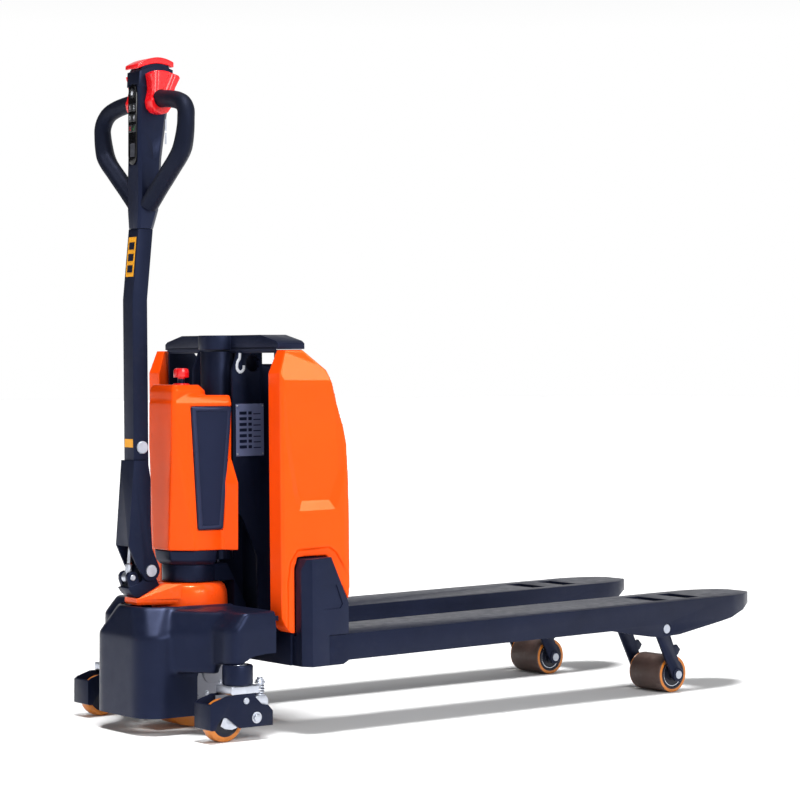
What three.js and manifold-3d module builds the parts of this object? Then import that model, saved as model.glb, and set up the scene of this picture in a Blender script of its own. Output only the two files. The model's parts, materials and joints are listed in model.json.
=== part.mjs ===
// Electric pallet truck: a steered drive end with tiller, and a lifting fork frame.
// Millimetres, +Z up, +X towards the fork tips, +Y towards the truck's left side.
import * as THREE from 'three';
import { mergeVertices } from 'three/addons/utils/BufferGeometryUtils.js';
import { ConvexGeometry } from 'three/addons/geometries/ConvexGeometry.js';
import Module from 'manifold-3d';

const wasm = await Module();
wasm.setup();

// ---------------------------------------------------------------- driving dimensions
// Drive-end pieces are placed from the load face (x = 0 where the forks' usable length starts).
const FORK_LENGTH = 1150;
const FORK_WIDTH = 159;
const FORK_DEPTH = 50;
const OVERALL_WIDTH = 553;
const HEEL_TOP = 190;              // fork top at the load face, raised
const FORK_RISE = 0.0124;          // forks rise slightly towards the tips when raised
const DRIVE_FRONT = -352;          // foremost face of the drive cover
const STEER_X = -186;              // vertical steering axis
const DRIVE_WHEEL_R = 105;
const DRIVE_WHEEL_WIDTH = 70;
const CASTER = { x: -222, y: 218, trail: 35, r: 40, width: 28 };
const ROLLER = { r: 40, width: 93 };
const TILLER_PIVOT = { x: -290, z: 308, r: 11.5 };
const HEAD = { front: -316, halfWidth: 22, top: 1262 };
const GRIP_AXIS = { x: -281, z: 1212 };
const LIFT_AXIS_X = -114;          // lift cylinder axis, in the fork frame's own axes
const ARM_PIVOT = { x: 845.4, z: -57.5, r: 11.7 };      // load-roller arm, fork frame's axes
const ROLLER_AXLE = { x: 894.1, z: -161.1, r: 10 };
const ROCKER = { x: -25, z: -31, r: 11.5 };
const STEER_BORE = 30;
const NOSE = { front: -321, halfWidth: 22, bottom: 242.5, top: 256 };   // lip of the steering dome
const SPRING_EYE = { x: -327, z: 296, r: 11 };
const SPRING_TOP = { x: -310, z: 498 };
const DRAWBAR = { depth: 33, width: 36, wall: 3 };
const HOOD = { bottom: 345, lowTop: 476, blend: 520, shoulder: 644, top: 664 };
const HOOD_LOW = [[-253, 0], [-253, 29], [-216, 66], [-158, 74], [-139, 77], [-139, 0]];
const HOOD_HIGH = [[-254, 0], [-254, 40], [-249, 46], [-139, 77], [-139, 0]];
const PANEL_REAR = [
  [-1, 90], [-1, 210], [-2, 290], [-6, 364], [-14, 401], [-24, 438], [-33, 479], [-41, 505], [-80, 543],
  [-112, 543],
];
const KEY = { width: 11, height: 15, pitchY: 14, pitchZ: 20, top: 1196 };
const HOME_BUTTON = { z: 1223, r: 8 };
const GAP = 0.3;                   // clearance between pieces that touch

const HALF_WIDTH = OVERALL_WIDTH / 2;
const FORK_Y = HALF_WIDTH - FORK_WIDTH / 2;
const SHEET = 5;                   // fork and plate steel thickness
const SHELL = 4;                   // moulded cover thickness

// ---------------------------------------------------------------- finishes
const finishes = {
  orange: { color: 0xf4581a, roughness: 0.3, metalness: 0 },
  blackSteel: { color: 0x1c2027, roughness: 0.45, metalness: 0.3 },
  blackPlastic: { color: 0x22262e, roughness: 0.5, metalness: 0 },
  glossBlack: { color: 0x07080a, roughness: 0.15, metalness: 0 },
  zinc: { color: 0xc3c8cf, roughness: 0.35, metalness: 0.9 },
  castGrey: { color: 0x8f939c, roughness: 0.55, metalness: 0.6 },
  red: { color: 0xd81f26, roughness: 0.35, metalness: 0 },
  tyre: { color: 0xd9751c, roughness: 0.55, metalness: 0 },
  rollerTread: { color: 0x7a5a4c, roughness: 0.6, metalness: 0 },
  keyGrey: { color: 0x3a3f49, roughness: 0.4, metalness: 0 },
};

// ---------------------------------------------------------------- solids and booleans
function solidOf(geometry) {
  const bare = geometry.clone();
  bare.deleteAttribute('normal');
  bare.deleteAttribute('uv');
  const merged = mergeVertices(bare, 1e-4);
  const corners = merged.index.array;
  const kept = [];
  for (let i = 0; i < corners.length; i += 3) {
    const [a, b, c] = corners.slice(i, i + 3);
    if (a !== b && b !== c && c !== a) kept.push(a, b, c);
  }
  return new wasm.Manifold(new wasm.Mesh({
    numProp: 3,
    vertProperties: Float32Array.from(merged.attributes.position.array),
    triVerts: Uint32Array.from(kept),
  }));
}

function geometryOf(solid) {
  const mesh = solid.getMesh();
  const geometry = new THREE.BufferGeometry();
  geometry.setAttribute('position', new THREE.BufferAttribute(mesh.vertProperties, 3));
  geometry.setIndex(new THREE.BufferAttribute(mesh.triVerts, 1));
  geometry.computeVertexNormals();
  return geometry;
}

function join(...geometries) {
  const solids = geometries.map(solidOf);
  return geometryOf(solids.reduce((whole, next) => whole.add(next)));
}

function cut(geometry, ...tools) {
  return geometryOf(tools.map(solidOf).reduce((whole, tool) => whole.subtract(tool), solidOf(geometry)));
}

function common(first, second) {
  return geometryOf(solidOf(first).intersect(solidOf(second)));
}

// ---------------------------------------------------------------- shape builders
const X_AXIS = new THREE.Vector3(1, 0, 0);
const Y_AXIS = new THREE.Vector3(0, 1, 0);
const Z_AXIS = new THREE.Vector3(0, 0, 1);

function shapeOf(points) {
  return new THREE.Shape(points.map(([a, b]) => new THREE.Vector2(a, b)));
}

function extrude(shape, depth, bevel = 0) {
  return new THREE.ExtrudeGeometry(shape, {
    depth: depth - 2 * bevel,
    bevelEnabled: bevel > 0,
    bevelSize: bevel,
    bevelOffset: -bevel,
    bevelThickness: bevel,
    bevelSegments: 1,
    curveSegments: 6,
    steps: 1,
  }).translate(0, 0, bevel);
}

// A side profile of [x, z] points, drawn out along Y.
function prismY(points, y0, y1, bevel = 0) {
  return extrude(shapeOf(points), y1 - y0, bevel).rotateX(Math.PI / 2).translate(0, y1, 0);
}

// A front profile of [y, z] points, drawn out along X.
function prismX(points, x0, x1) {
  const turn = new THREE.Matrix4().makeBasis(Y_AXIS, Z_AXIS, X_AXIS);
  return extrude(shapeOf(points), x1 - x0).applyMatrix4(turn).translate(x0, 0, 0);
}

// A plan of [x, y] points, drawn out along Z.
function prismZ(points, z0, z1, bevel = 0) {
  return extrude(shapeOf(points), z1 - z0, bevel).translate(0, 0, z0);
}

function box(x0, x1, y0, y1, z0, z1) {
  return new THREE.BoxGeometry(x1 - x0, y1 - y0, z1 - z0)
    .translate((x0 + x1) / 2, (y0 + y1) / 2, (z0 + z1) / 2);
}

function barY(x, z, r, y0, y1, segments = 16) {
  return new THREE.CylinderGeometry(r, r, y1 - y0, segments).translate(x, (y0 + y1) / 2, z);
}

function barZ(x, y, r, z0, z1, segments = 20) {
  return new THREE.CylinderGeometry(r, r, z1 - z0, segments).rotateX(Math.PI / 2)
    .translate(x, y, (z0 + z1) / 2);
}

// A body turned about Y from [radius, height] points, counter-clockwise, that start and end on
// the axis or close on themselves.
function turned(profile, segments) {
  const closed = profile[0][0] > 0 ? [...profile, profile[0]] : profile;
  const lathe = new THREE.LatheGeometry(closed.map(([r, h]) => new THREE.Vector2(r, h)), segments);
  return geometryOf(solidOf(lathe));
}

function turnZ(profile, x, y, segments = 20) {
  return turned(profile, segments).rotateX(Math.PI / 2).translate(x, y, 0);
}

function turnY(profile, x, y, z, segments = 24) {
  return turned(profile, segments).translate(x, y, z);
}

// The convex block through several level outlines, each given as [z, [[x, y], ...]].
function loft(levels) {
  const points = [];
  for (const [z, outline] of levels) {
    for (const [x, y] of outline) points.push(new THREE.Vector3(x, y, z));
  }
  return new ConvexGeometry(points);
}

// Outline of a link: two round ends joined by straight sides.
function linkOutline(x0, z0, r0, x1, z1, r1, steps = 5) {
  const angle = Math.atan2(z1 - z0, x1 - x0);
  const spread = Math.acos((r0 - r1) / Math.hypot(x1 - x0, z1 - z0));
  const outline = [];
  for (let i = 0; i <= steps; i += 1) {
    const a = angle - spread + (2 * spread * i) / steps;
    outline.push([x1 + r1 * Math.cos(a), z1 + r1 * Math.sin(a)]);
  }
  for (let i = 0; i <= steps; i += 1) {
    const a = angle + spread + ((2 * Math.PI - 2 * spread) * i) / steps;
    outline.push([x0 + r0 * Math.cos(a), z0 + r0 * Math.sin(a)]);
  }
  return outline;
}

// A left-right symmetrical outline from the [x, y] points of its left half.
function mirrored(half) {
  return [...half, ...half.filter(([, y]) => y !== 0).map(([x, y]) => [x, -y]).reverse()];
}

// An outline drawn for the left side, flipped over for the right.
function across(side, outline) {
  return outline.map(([x, y]) => [x, side * y]);
}

// A box on one side of the truck, between two distances from its middle.
function sideBox(x0, x1, side, near, far, z0, z1) {
  return box(x0, x1, Math.min(side * near, side * far), Math.max(side * near, side * far), z0, z1);
}

// A straight-sided outline moved inwards by a wall thickness.
function inset(points, wall) {
  const area = points.reduce((sum, [x, y], i) => {
    const [nx, ny] = points[(i + 1) % points.length];
    return sum + x * ny - nx * y;
  }, 0);
  const side = Math.sign(area);
  return points.map(([x, y], i) => {
    const before = points[(i + points.length - 1) % points.length];
    const after = points[(i + 1) % points.length];
    const a = new THREE.Vector2(x - before[0], y - before[1]).normalize();
    const b = new THREE.Vector2(after[0] - x, after[1] - y).normalize();
    const na = new THREE.Vector2(-a.y, a.x);
    const nb = new THREE.Vector2(-b.y, b.x);
    const mid = na.clone().add(nb);
    mid.multiplyScalar((side * wall * 2) / mid.lengthSq());
    return [x + mid.x, y + mid.y];
  });
}

// A symmetrical outline from the left half of it, moved inwards but still meeting at the middle.
function mirroredInset(half, wall) {
  const moved = inset(half, wall);
  moved[0][1] = 0;
  moved[moved.length - 1][1] = 0;
  return mirrored(moved);
}

// ---------------------------------------------------------------- scene graph
const truck = new THREE.Group();
const model = new THREE.Group();
model.position.x = -(FORK_LENGTH + DRIVE_FRONT) / 2;   // origin: middle of the footprint, on the floor
truck.add(model);

// Everything square to the forks hangs in this group, whose origin is the load face at fork top.
const forkFrame = new THREE.Group();
forkFrame.position.z = HEEL_TOP;
forkFrame.rotation.y = -FORK_RISE;
model.add(forkFrame);

function place(group, name, geometry, finish) {
  const mesh = new THREE.Mesh(geometry, new THREE.MeshStandardMaterial(finishes[finish]));
  mesh.name = name;
  group.add(mesh);
}

const sides = [['left', 1], ['right', -1]];

// ---------------------------------------------------------------- forks and tower
// Pressed channel, 0.6 lower under the tower's floor plate, with slots over the load roller.
function fork(side) {
  const y = side * FORK_Y;
  const outline = [
    [-50, -0.6], [-50, -57], [-18, -57], [-4, -FORK_DEPTH], [686, -FORK_DEPTH], [741, -61], [794, -70],
    [825, -74], [883, -72], [944, -63], [1005, -54], [1040, -48], [1142, -20], [1150, -12], [1148, -4],
    [1140, 0], [-4.3, 0], [-4.3, -0.6],
  ];
  const nose = [[1044, 79.5], [1090, 69], [1128, 46], [1150, 18]];
  const plan = mirrored([[-50, 79.5], ...nose]).map(([x, dy]) => [x, y + dy]);
  const inner = [[-50 + SHEET, -SHEET], [1030, -SHEET], [1030, -90], [-50 + SHEET, -90]];
  const wall = FORK_WIDTH / 2;
  const body = common(prismY(outline, y - wall, y + wall), prismZ(plan, -100, 20));
  const slots = [861, 956].map((x) => box(x - 20, x + 20, y - 47, y + 47, -20, 10));
  return cut(
    body,
    prismY(inner, y - wall + SHEET, y + wall - SHEET),
    ...slots,
    barY(ARM_PIVOT.x, ARM_PIVOT.z, ARM_PIVOT.r + GAP, y - 100, y + 100),
    barY(ROCKER.x, ROCKER.z, ROCKER.r + GAP, side * (FORK_Y - wall) - 20, side * (FORK_Y - wall) + 20),
  );
}

// Load-roller arm: pivot pin, two link plates, axle pin and the lug that the push rod drives.
function rollerArm(side) {
  const y = side * FORK_Y;
  const parts = [
    barY(ARM_PIVOT.x, ARM_PIVOT.z, ARM_PIVOT.r, y - 79, y + 79),
    barY(ROLLER_AXLE.x, ROLLER_AXLE.z, ROLLER_AXLE.r, y - 65, y + 65),
  ];
  const link = linkOutline(ARM_PIVOT.x, ARM_PIVOT.z, 18, ROLLER_AXLE.x, ROLLER_AXLE.z, 15);
  const hook = [[876, -100], [892, -96], [902, -107], [896, -117], [886, -122]];
  const lug = linkOutline(ARM_PIVOT.x, ARM_PIVOT.z, 18, 851, -24, 11);
  for (const dy of [-1, 1]) {
    parts.push(prismY(link, y + dy * 59 - 3, y + dy * 59 + 3));
    parts.push(prismY(hook, y + dy * 59 - 3, y + dy * 59 + 3));
    parts.push(prismY(lug, y + dy * 12 - 2.5, y + dy * 12 + 2.5));
  }
  return join(...parts);
}

function loadRoller(side) {
  const half = ROLLER.width / 2;
  const bore = ROLLER_AXLE.r + GAP;
  const profile = [
    [bore, -half], [ROLLER.r - 2, -half], [ROLLER.r, -half + 2], [ROLLER.r, half - 2],
    [ROLLER.r - 2, half], [bore, half],
  ];
  return turnY(profile, ROLLER_AXLE.x, side * FORK_Y, ROLLER_AXLE.z, 28);
}

function pushRod(side) {
  const y = side * FORK_Y;
  return box(30, 856, y - 8, y + 8, -32, -14);
}

function heelRocker() {
  const arm = linkOutline(ROCKER.x, ROCKER.z, 13, -12, -19, 8);
  const reach = FORK_Y - 7;
  return join(
    barY(ROCKER.x, ROCKER.z, ROCKER.r, -reach, reach),
    prismY(arm, -reach, -reach + 8),
    prismY(arm, reach - 8, reach),
  );
}

// Welded tower: heel beam, load plate, two gussets with lifting holes, top web and lift sleeve.
function towerFrame() {
  const gusset = [
    [-70, -5], [-9, -5], [-9, 500], [-57, 514], [-57, 542], [-113, 542], [-128, 505], [-128, 240],
    [-106, 215], [-72, 140],
  ];
  const plateOutline = [
    [-233, -1], [233, -1], [233, 462], [212, 500], [190, 516], [-190, 516], [-212, 500], [-233, 462],
  ];
  const cheek = [[-108, 300], [-8, 300], [-8, 490], [-50, 541], [-108, 541]];
  const parts = [
    box(-107, -50.4, -228, 228, -57, 0),
    box(-107, -8, -228, 228, -1, 4.4),
    prismX(plateOutline, -14, -8),
    box(-107, -46, -188, 188, 538, 544),
    box(-50, -46, -45, 45, 488, 541),
    barZ(LIFT_AXIS_X, 0, 34, 246, 541, 24),
  ];
  for (const [, side] of sides) {
    const y = side * 68;
    parts.push(prismY(gusset, y - 3, y + 3));
    parts.push(prismY(cheek, side * 185.5 - 2.5, side * 185.5 + 2.5));
  }
  return cut(
    join(...parts),
    box(-50.3, 20, -240, 240, -80, GAP),
    box(-120, -73, -80, 80, -80, 20),
    barZ(LIFT_AXIS_X, 0, 29, 200, 537.9, 24),
    barY(-79, 518, 17, -90, 90),
  );
}

function topCap() {
  const half = [[0, 545], [198, 545], [198, 556], [190, 561], [137, 573], [0, 573]];
  const outline = [...half, ...half.slice(1, -1).map(([y, z]) => [-y, z]).reverse()];
  return join(prismX(outline, -109, -46), barZ(LIFT_AXIS_X, 0, 38, 545, 572.5, 24));
}

// Plan of a side panel, which narrows towards the front; wall shrinks it and reach is its inner edge.
function panelPlan(side, wall, reach) {
  return across(side, [
    [-128 + wall, reach], [-128 + wall, 228 - wall], [-122 + wall, 235 - wall], [-14, HALF_WIDTH - wall],
    [-wall, HALF_WIDTH - wall], [-wall, reach + 49],
  ]);
}

function sidePanel(side) {
  const outline = [
    [-128, 500], [-128, 34], [-122, 18], [-110, 6], [-103, 5], [-103, 128], [-97, 150], [-44, 152],
    [-4.2, 66], ...PANEL_REAR,
  ];
  const slab = common(prismY(outline, -300, 300), prismZ(panelPlan(side, 0, 191), -50, 600));
  const pocket = common(
    prismY(inset(outline, SHELL), -300, 300),
    prismZ(panelPlan(side, SHELL, 150), -50, 600),
  );
  return cut(slab, pocket);
}

function footCover(side) {
  const outline = [
    [-102.5, -57], [-50.5, -57], [-50.5, 0.5], [-4.6, 0.5], [-4.6, 60], [-45, 149], [-96, 147], [-102.5, 126],
  ];
  const plan = across(side, [[-102.5, 240], [-90, HALF_WIDTH], [-4, HALF_WIDTH], [-4, 240]]);
  const slab = common(prismY(outline, -300, 300), prismZ(plan, -80, 200));
  const shelf = sideBox(-102.5, -50.5, side, 228.4, 240.1, -57, -1.5);
  return join(slab, shelf);
}

function liftRam() {
  return barZ(LIFT_AXIS_X, 0, 14, 255, 537.5);
}

// ---------------------------------------------------------------- chassis of the drive end
function driveChassis() {
  const rib = [[-160, 316], [-128, 316], [-84, 236], [-84, 219], [-111, 219], [-111, 283], [-160, 284]];
  const cross = mirrored([
    [-84, 0], [-84, 45], [-110, 62], [-110, 180], [-134, 182], [-134, 226], [-150, 226], [-150, 84],
    [-140, 72], [-118, 45], [-111.5, 20], [-111.5, 0],
  ].reverse());
  const parts = [
    barZ(STEER_X, 0, 54, 284, 316, 24),
    prismY(rib, -45, 45),
    prismZ(cross, 219, 228),
  ];
  for (const [, side] of sides) {
    parts.push(sideBox(-150, -142, side, 100, 226, 163, 228));
    parts.push(sideBox(-231, -142, side, 196, 226, 163, 178));
  }
  return cut(join(...parts), barZ(STEER_X, 0, STEER_BORE, 270, 330, 24));
}

// Hollow front block of the drive cover, and the shoulders over the casters.
function skirtSolids(wall, bottom, rear) {
  const corner = 50;
  const front = DRIVE_FRONT + wall;
  const half = 104 - wall;
  const low = [[front, 0]];
  for (let i = 0; i <= 4; i += 1) {
    const a = (i * Math.PI) / 8;
    low.push([front + corner - corner * Math.cos(a), half - corner + corner * Math.sin(a)]);
  }
  low.push([rear, half], [rear, 0]);
  const crown = [[-331, 20, 240], [-318, 45, 240], [-285, 70, 241], [-230, 86, 241], [rear, 86, 239]];
  const points = [];
  for (const side of [1, -1]) {
    for (const [x, y] of low) {
      points.push(new THREE.Vector3(x, side * y, bottom), new THREE.Vector3(x, side * y, 186 - wall));
    }
    for (const [x, y, z] of crown) {
      points.push(new THREE.Vector3(x + (x < rear ? wall : 0), side * (y - wall), z - wall));
    }
  }
  const solids = [new ConvexGeometry(points)];
  for (const side of [1, -1]) {
    const foot = across(side, [
      [-246 + wall, 60], [-243 + wall, 206], [-236 + wall, 230 - wall], [-228 + wall, 236 - wall],
      [rear, 237 - wall], [rear, 60],
    ]);
    const top = across(side, [
      [-222 + wall, 60], [-216 + wall, 206], [-211 + wall, 226 - wall], [-204 + wall, 232 - wall],
      [rear, 232 - wall], [rear, 60],
    ]);
    solids.push(loft([[wall ? 150 : 160, foot], [206, foot], [238 - wall, top]]));
  }
  return solids;
}

// Moulded drive cover: open underneath and behind, with an opening round the steering head. Its
// rim stays below the dome's nose, which passes over it as it steers.
function skirtCover() {
  const arch = [[-236, 0], [-236, 115], [-229, 134], [-215, 148], [-198, 155], [-80, 155], [-80, 0]];
  const opening = mirrored([
    [-325, 0], [-323, 22], [-316, 42], [-296, 62], [-262, 77], [-225, 80], [-60, 80], [-60, 0],
  ]);
  return cut(
    join(...skirtSolids(0, 32, -146)),
    join(...skirtSolids(SHELL, 0, -120)),
    prismZ(opening, 200, 300),
    prismY(arch, -150, 150),
  );
}

// ---------------------------------------------------------------- hood and what it holds
function hoodBlock(wall, bottom) {
  const shrink = (half) => mirroredInset(half, wall);
  const low = shrink(HOOD_LOW);
  const high = shrink(HOOD_HIGH);
  const crown = shrink(HOOD_HIGH.map(([x, y]) => [x + (x < -200 ? 6 : 0), y * 0.93]));
  const body = loft([
    [bottom, low], [540, high], [HOOD.shoulder - 14 - wall, high], [HOOD.shoulder - wall, crown],
  ]);
  const pod = mirrored([[-252, 0], [-252, 40], [-246, 44], [-190, 50], [-180, 42], [-180, 0]]);
  const parts = [body];
  const lid = pod.map(([x, y]) => [x + 2, y * 0.94]);
  if (wall === 0) parts.push(loft([[600, pod], [HOOD.top - 4, pod], [HOOD.top, lid]]));
  for (const [, side] of sides) {
    const ear = across(side, [
      [-166 + wall, 60], [-158 + wall, 74], [-141, 101 - wall], [-139 - wall, 101 - wall], [-139 - wall, 60],
    ]);
    const tuck = across(side, [
      [-160 + wall, 60], [-150 + wall, 74], [-139 - wall, 77 - wall], [-139 - wall, 60],
    ]);
    parts.push(loft([[bottom, ear], [HOOD.lowTop - wall, ear], [HOOD.blend, tuck]]));
  }
  return join(...parts);
}

// Tapered trim panel let into each side facet of the hood.
function insertBlock(side, grow) {
  const top = [[-219, 55], [-141, 76.4]];
  const foot = [[-210, 66.2], [-160, 75.2]];
  const levels = [[385 - grow, foot], [623 + grow, top]].map(([z, edge]) => {
    const [[xa, ya], [xb, yb]] = edge;
    return [z, [
      [xa - grow, side * (ya + 2.5 + grow)], [xb + grow, side * (yb + 2.5 + grow)],
      [xb + grow, side * (yb - 3.5 - grow)], [xa - grow, side * (ya - 3.5 - grow)],
    ]];
  });
  return loft(levels);
}

function hoodCover() {
  return cut(
    hoodBlock(0, HOOD.bottom),
    cut(hoodBlock(SHELL, 300), box(-168, -100, -45, 45, 200, 700)),
    box(-164, -100, -41, 41, 300, 700),
    insertBlock(1, GAP),
    insertBlock(-1, GAP),
    barZ(-206, 0, 12, 600, 700),
  );
}

function hoodCollar() {
  const top = mirrored([[-250, 0], [-250, 27], [-215, 62], [-168, 70], [-168, 0]]);
  const foot = mirrored([[-238, 0], [-238, 22], [-210, 50], [-168, 58], [-168, 0]]);
  return loft([[316.4, foot], [324, foot], [HOOD.bottom - GAP, top]]);
}

function batteryPack() {
  return prismZ(mirrored([[-246, 0], [-246, 34], [-174, 44], [-174, 0]]), 500, 632, 2);
}

function pumpUnit() {
  return join(
    barZ(-210, 0, 36, HOOD.bottom + GAP, 452),
    box(-196, -172, -36, 36, 352, 470),
    box(-228, -190, -24, 24, 440, 486),
  );
}

function motorController() {
  return cut(
    box(-164, -146, 46, 64, 352, 470),
    ...[0, 1, 2, 3].map((i) => box(-168, -144, 60, 65, 364 + i * 26, 376 + i * 26)),
  );
}

function liftCylinder() {
  return turnZ([[15, 134], [26, 134], [26, 420], [15, 420]], LIFT_AXIS_X, 0);
}

// ---------------------------------------------------------------- steering head and drive unit
function steerDome() {
  const shell = [
    [0, 276], [52, 276], [61, 268], [61, 228.5], [74, 228.5], [74.4, 242], [73.6, 262], [70, 276], [63, 282],
    [STEER_BORE - 0.5, 282], [STEER_BORE - 0.5, 312], [0, 312],
  ];
  const nose = mirrored([[NOSE.front, 0], [NOSE.front, NOSE.halfWidth], [-232, 48], [-232, 0]]);
  const flanks = sides.map(([, side]) => loft([
    [NOSE.top - 2, across(side, [
      [NOSE.front, 19.5], [NOSE.front, NOSE.halfWidth], [-232, 48], [-232, 19.5],
    ])],
    [281, across(side, [[-264, 19.5], [-264, 28], [-232, 48], [-232, 19.5]])],
  ]));
  return cut(
    join(turnZ(shell, STEER_X, 0, 28), prismZ(nose, NOSE.bottom, NOSE.top), ...flanks),
    barZ(STEER_X, 0, 61, 220, 268, 28),
  );
}

function driveMotor() {
  return turnZ([[0, 226.5], [56, 226.5], [56, 258], [50, 265], [0, 265]], STEER_X, 0, 24);
}

function gearbox() {
  const plate = linkOutline(STEER_X, DRIVE_WHEEL_R, 45, STEER_X, 182, 38);
  return cut(
    join(
      prismY(plate, -60, -DRIVE_WHEEL_WIDTH / 2 - 3),
      barZ(STEER_X, 0, 72, 213, 226, 28),
      box(STEER_X - 36, STEER_X + 36, -60, -38, 190, 220),
    ),
    barY(STEER_X, DRIVE_WHEEL_R, 15.3, -52, -30),
  );
}

function driveWheelHub() {
  const half = DRIVE_WHEEL_WIDTH / 2;
  return join(
    turnY([[0, -half], [84.7, -half], [84.7, half], [50, half], [50, half - 12], [0, half - 12]],
      STEER_X, 0, DRIVE_WHEEL_R, 28),
    barY(STEER_X, DRIVE_WHEEL_R, 15, -half - 14, 0),
  );
}

function driveWheelTyre() {
  const half = DRIVE_WHEEL_WIDTH / 2;
  return turnY([[85, -half], [101, -half], [DRIVE_WHEEL_R, -half + 4], [DRIVE_WHEEL_R, half - 4], [101, half],
    [85, half]], STEER_X, 0, DRIVE_WHEEL_R, 28);
}

// Yoke bolted on the steering head's nose: ears for the tiller pin and a fork for the gas spring's eye.
function tillerYoke() {
  const { x, z, r } = TILLER_PIVOT;
  const base = [
    [-338, 276], [-330, 265], [-318, 257], [-270, 256.5], [-262, 268], [-274, 290], [-306, 290], [-316, 284],
  ];
  const body = join(
    prismY(base, -19, 19),
    prismY(linkOutline(x, z, 16, x, 275, 16), -18.5, 18.5),
    prismY(linkOutline(SPRING_EYE.x, SPRING_EYE.z, 12, -319, 272, 11), -17, 17),
  );
  const slot = box(-360, -307.5, -8.5, 8.5, 278, 330);
  const eyePin = barY(SPRING_EYE.x, SPRING_EYE.z, 4, -17, 17, 16);
  return join(cut(body, slot, barY(x, z, r + GAP, -40, 40)), eyePin);
}

// ---------------------------------------------------------------- tiller
function tillerPivotPin() {
  return barY(TILLER_PIVOT.x, TILLER_PIVOT.z, TILLER_PIVOT.r, -26.5, 26.5);
}

function tillerBracket() {
  const { x, z, r } = TILLER_PIVOT;
  const cheek = [[-328, 520], [-340, 358], [-322, 319], [-311, 302]];
  for (let i = 0; i <= 8; i += 1) {
    const a = Math.PI + 0.35 + (i * (Math.PI + 0.2)) / 8;
    cheek.push([x + 20 * Math.cos(a), z + 20 * Math.sin(a)]);
  }
  cheek.push([-287, 351], [-290, 397], [-290.5, 483], [-297, 520]);
  const web = [[-328, 520], [-340, 358], [-337, 356], [-324.8, 520]];
  const parts = [prismY(web, -23.5, 23.5)];
  for (const y0 of [19.3, -23.5]) parts.push(prismY(cheek, y0, y0 + 4.2));
  parts.push(box(-327, -297.5, -23.5, 23.5, 516.5, 520));
  return cut(
    join(...parts),
    barY(x, z, r + GAP, -40, 40),
    box(-324.7, -290, -18.3, 18.3, 500, 530),
  );
}

// Square-section drawbar: straight, then bent back slightly below the head.
function tillerTube() {
  const outside = [[-308, 505], [-311.5, 828], [-298.5, 964]];
  const inside = [[-308, 500], [-311.5, 828], [-298.5, 969]];
  const bar = (centre, shrink) => {
    const half = DRAWBAR.depth / 2 - shrink;
    const w = DRAWBAR.width / 2 - shrink;
    const front = centre.map(([x, z]) => [x - half, z]);
    const back = centre.map(([x, z]) => [x + half, z]).reverse();
    return prismY([...front, ...back], -w, w);
  };
  return cut(bar(outside, 0), bar(inside, DRAWBAR.wall));
}

function alongSpring(geometry) {
  const lean = Math.atan2(SPRING_TOP.x - SPRING_EYE.x, SPRING_TOP.z - SPRING_EYE.z);
  return geometry.rotateY(lean).translate(SPRING_EYE.x, 0, SPRING_EYE.z);
}

function gasSpringRod() {
  const rod = join(
    barY(SPRING_EYE.x, SPRING_EYE.z, SPRING_EYE.r, -8, 8),
    alongSpring(barZ(0, 0, 6.5, 8, 26, 16)),
    alongSpring(barZ(0, 0, 4, 20, 110, 16)),
  );
  return cut(rod, barY(SPRING_EYE.x, SPRING_EYE.z, 4.3, -20, 20, 16));
}

function gasSpringTube() {
  const profile = [[0, 188], [4.4, 188], [4.4, 86], [8, 86], [8, 192], [0, 192]];
  return alongSpring(turnZ(profile, 0, 0, 20));
}

// ---------------------------------------------------------------- tiller head
function headHousing() {
  const w = HEAD.halfWidth;
  const f = HEAD.front;
  const sectionAt = (x1, half) => mirrored([
    [f, 0], [f, half - 4], [f + 6, half], [x1 - 8, half], [x1, half - 6], [x1, 0],
  ]);
  const lower = loft([
    [964.5, sectionAt(-279, 20.5)], [1010, sectionAt(-268, w + 3)], [1100, sectionAt(-262, w + 1)],
  ]);
  const upper = loft([
    [1095, sectionAt(-262, w + 1)], [1200, sectionAt(-246, w)], [HEAD.top - 22, sectionAt(-240, w)],
  ]);
  const crown = [];
  for (let i = 0; i <= 6; i += 1) {
    const t = i / 6;
    crown.push([f + 4 + t * 72, HEAD.top - 4 + 14 * Math.sin(Math.PI * (0.12 + 0.62 * t))]);
  }
  const cap = prismY([...crown, [-240, 1232], [f, 1232]], -w, w);
  return cut(
    join(lower, upper, cap),
    box(f - 1, f + 1.6, -15.5, 15.5, 1084, 1242),
    box(f + 6, -262, -17, 17, 1120, 1190),
    box(f + 6, -200, -12, 12, 1130, 1180),
  );
}

// Hand loop: from the head through the throttle, round the knuckles and back to the head's foot.
function handleLoop(side) {
  const route = [
    [20, 1212], [34, 1212], [52, 1211], [104, 1203], [134, 1193], [148, 1166], [146, 1138], [137, 1110],
    [96, 1073], [53, 1037], [22, 1011],
  ];
  const spots = route.map(([y, z], i) => {
    const set = THREE.MathUtils.clamp(i - 2, 0, 4) * 3;
    return new THREE.Vector3(GRIP_AXIS.x - set, side * y, z);
  });
  const circle = new THREE.Shape();
  circle.absellipse(0, 0, 16.5, 16.5, 0, Math.PI * 2);
  const tube = new THREE.ExtrudeGeometry(new THREE.Shape(circle.getPoints(2).slice(0, -1)), {
    steps: 14,
    extrudePath: new THREE.CatmullRomCurve3(spots, false, 'centripetal'),
    bevelEnabled: false,
  });
  return cut(tube, box(-400, -200, -22.6, 22.6, 1100, 1300), box(-400, -200, -25.6, 25.6, 900, 1100));
}

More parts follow.
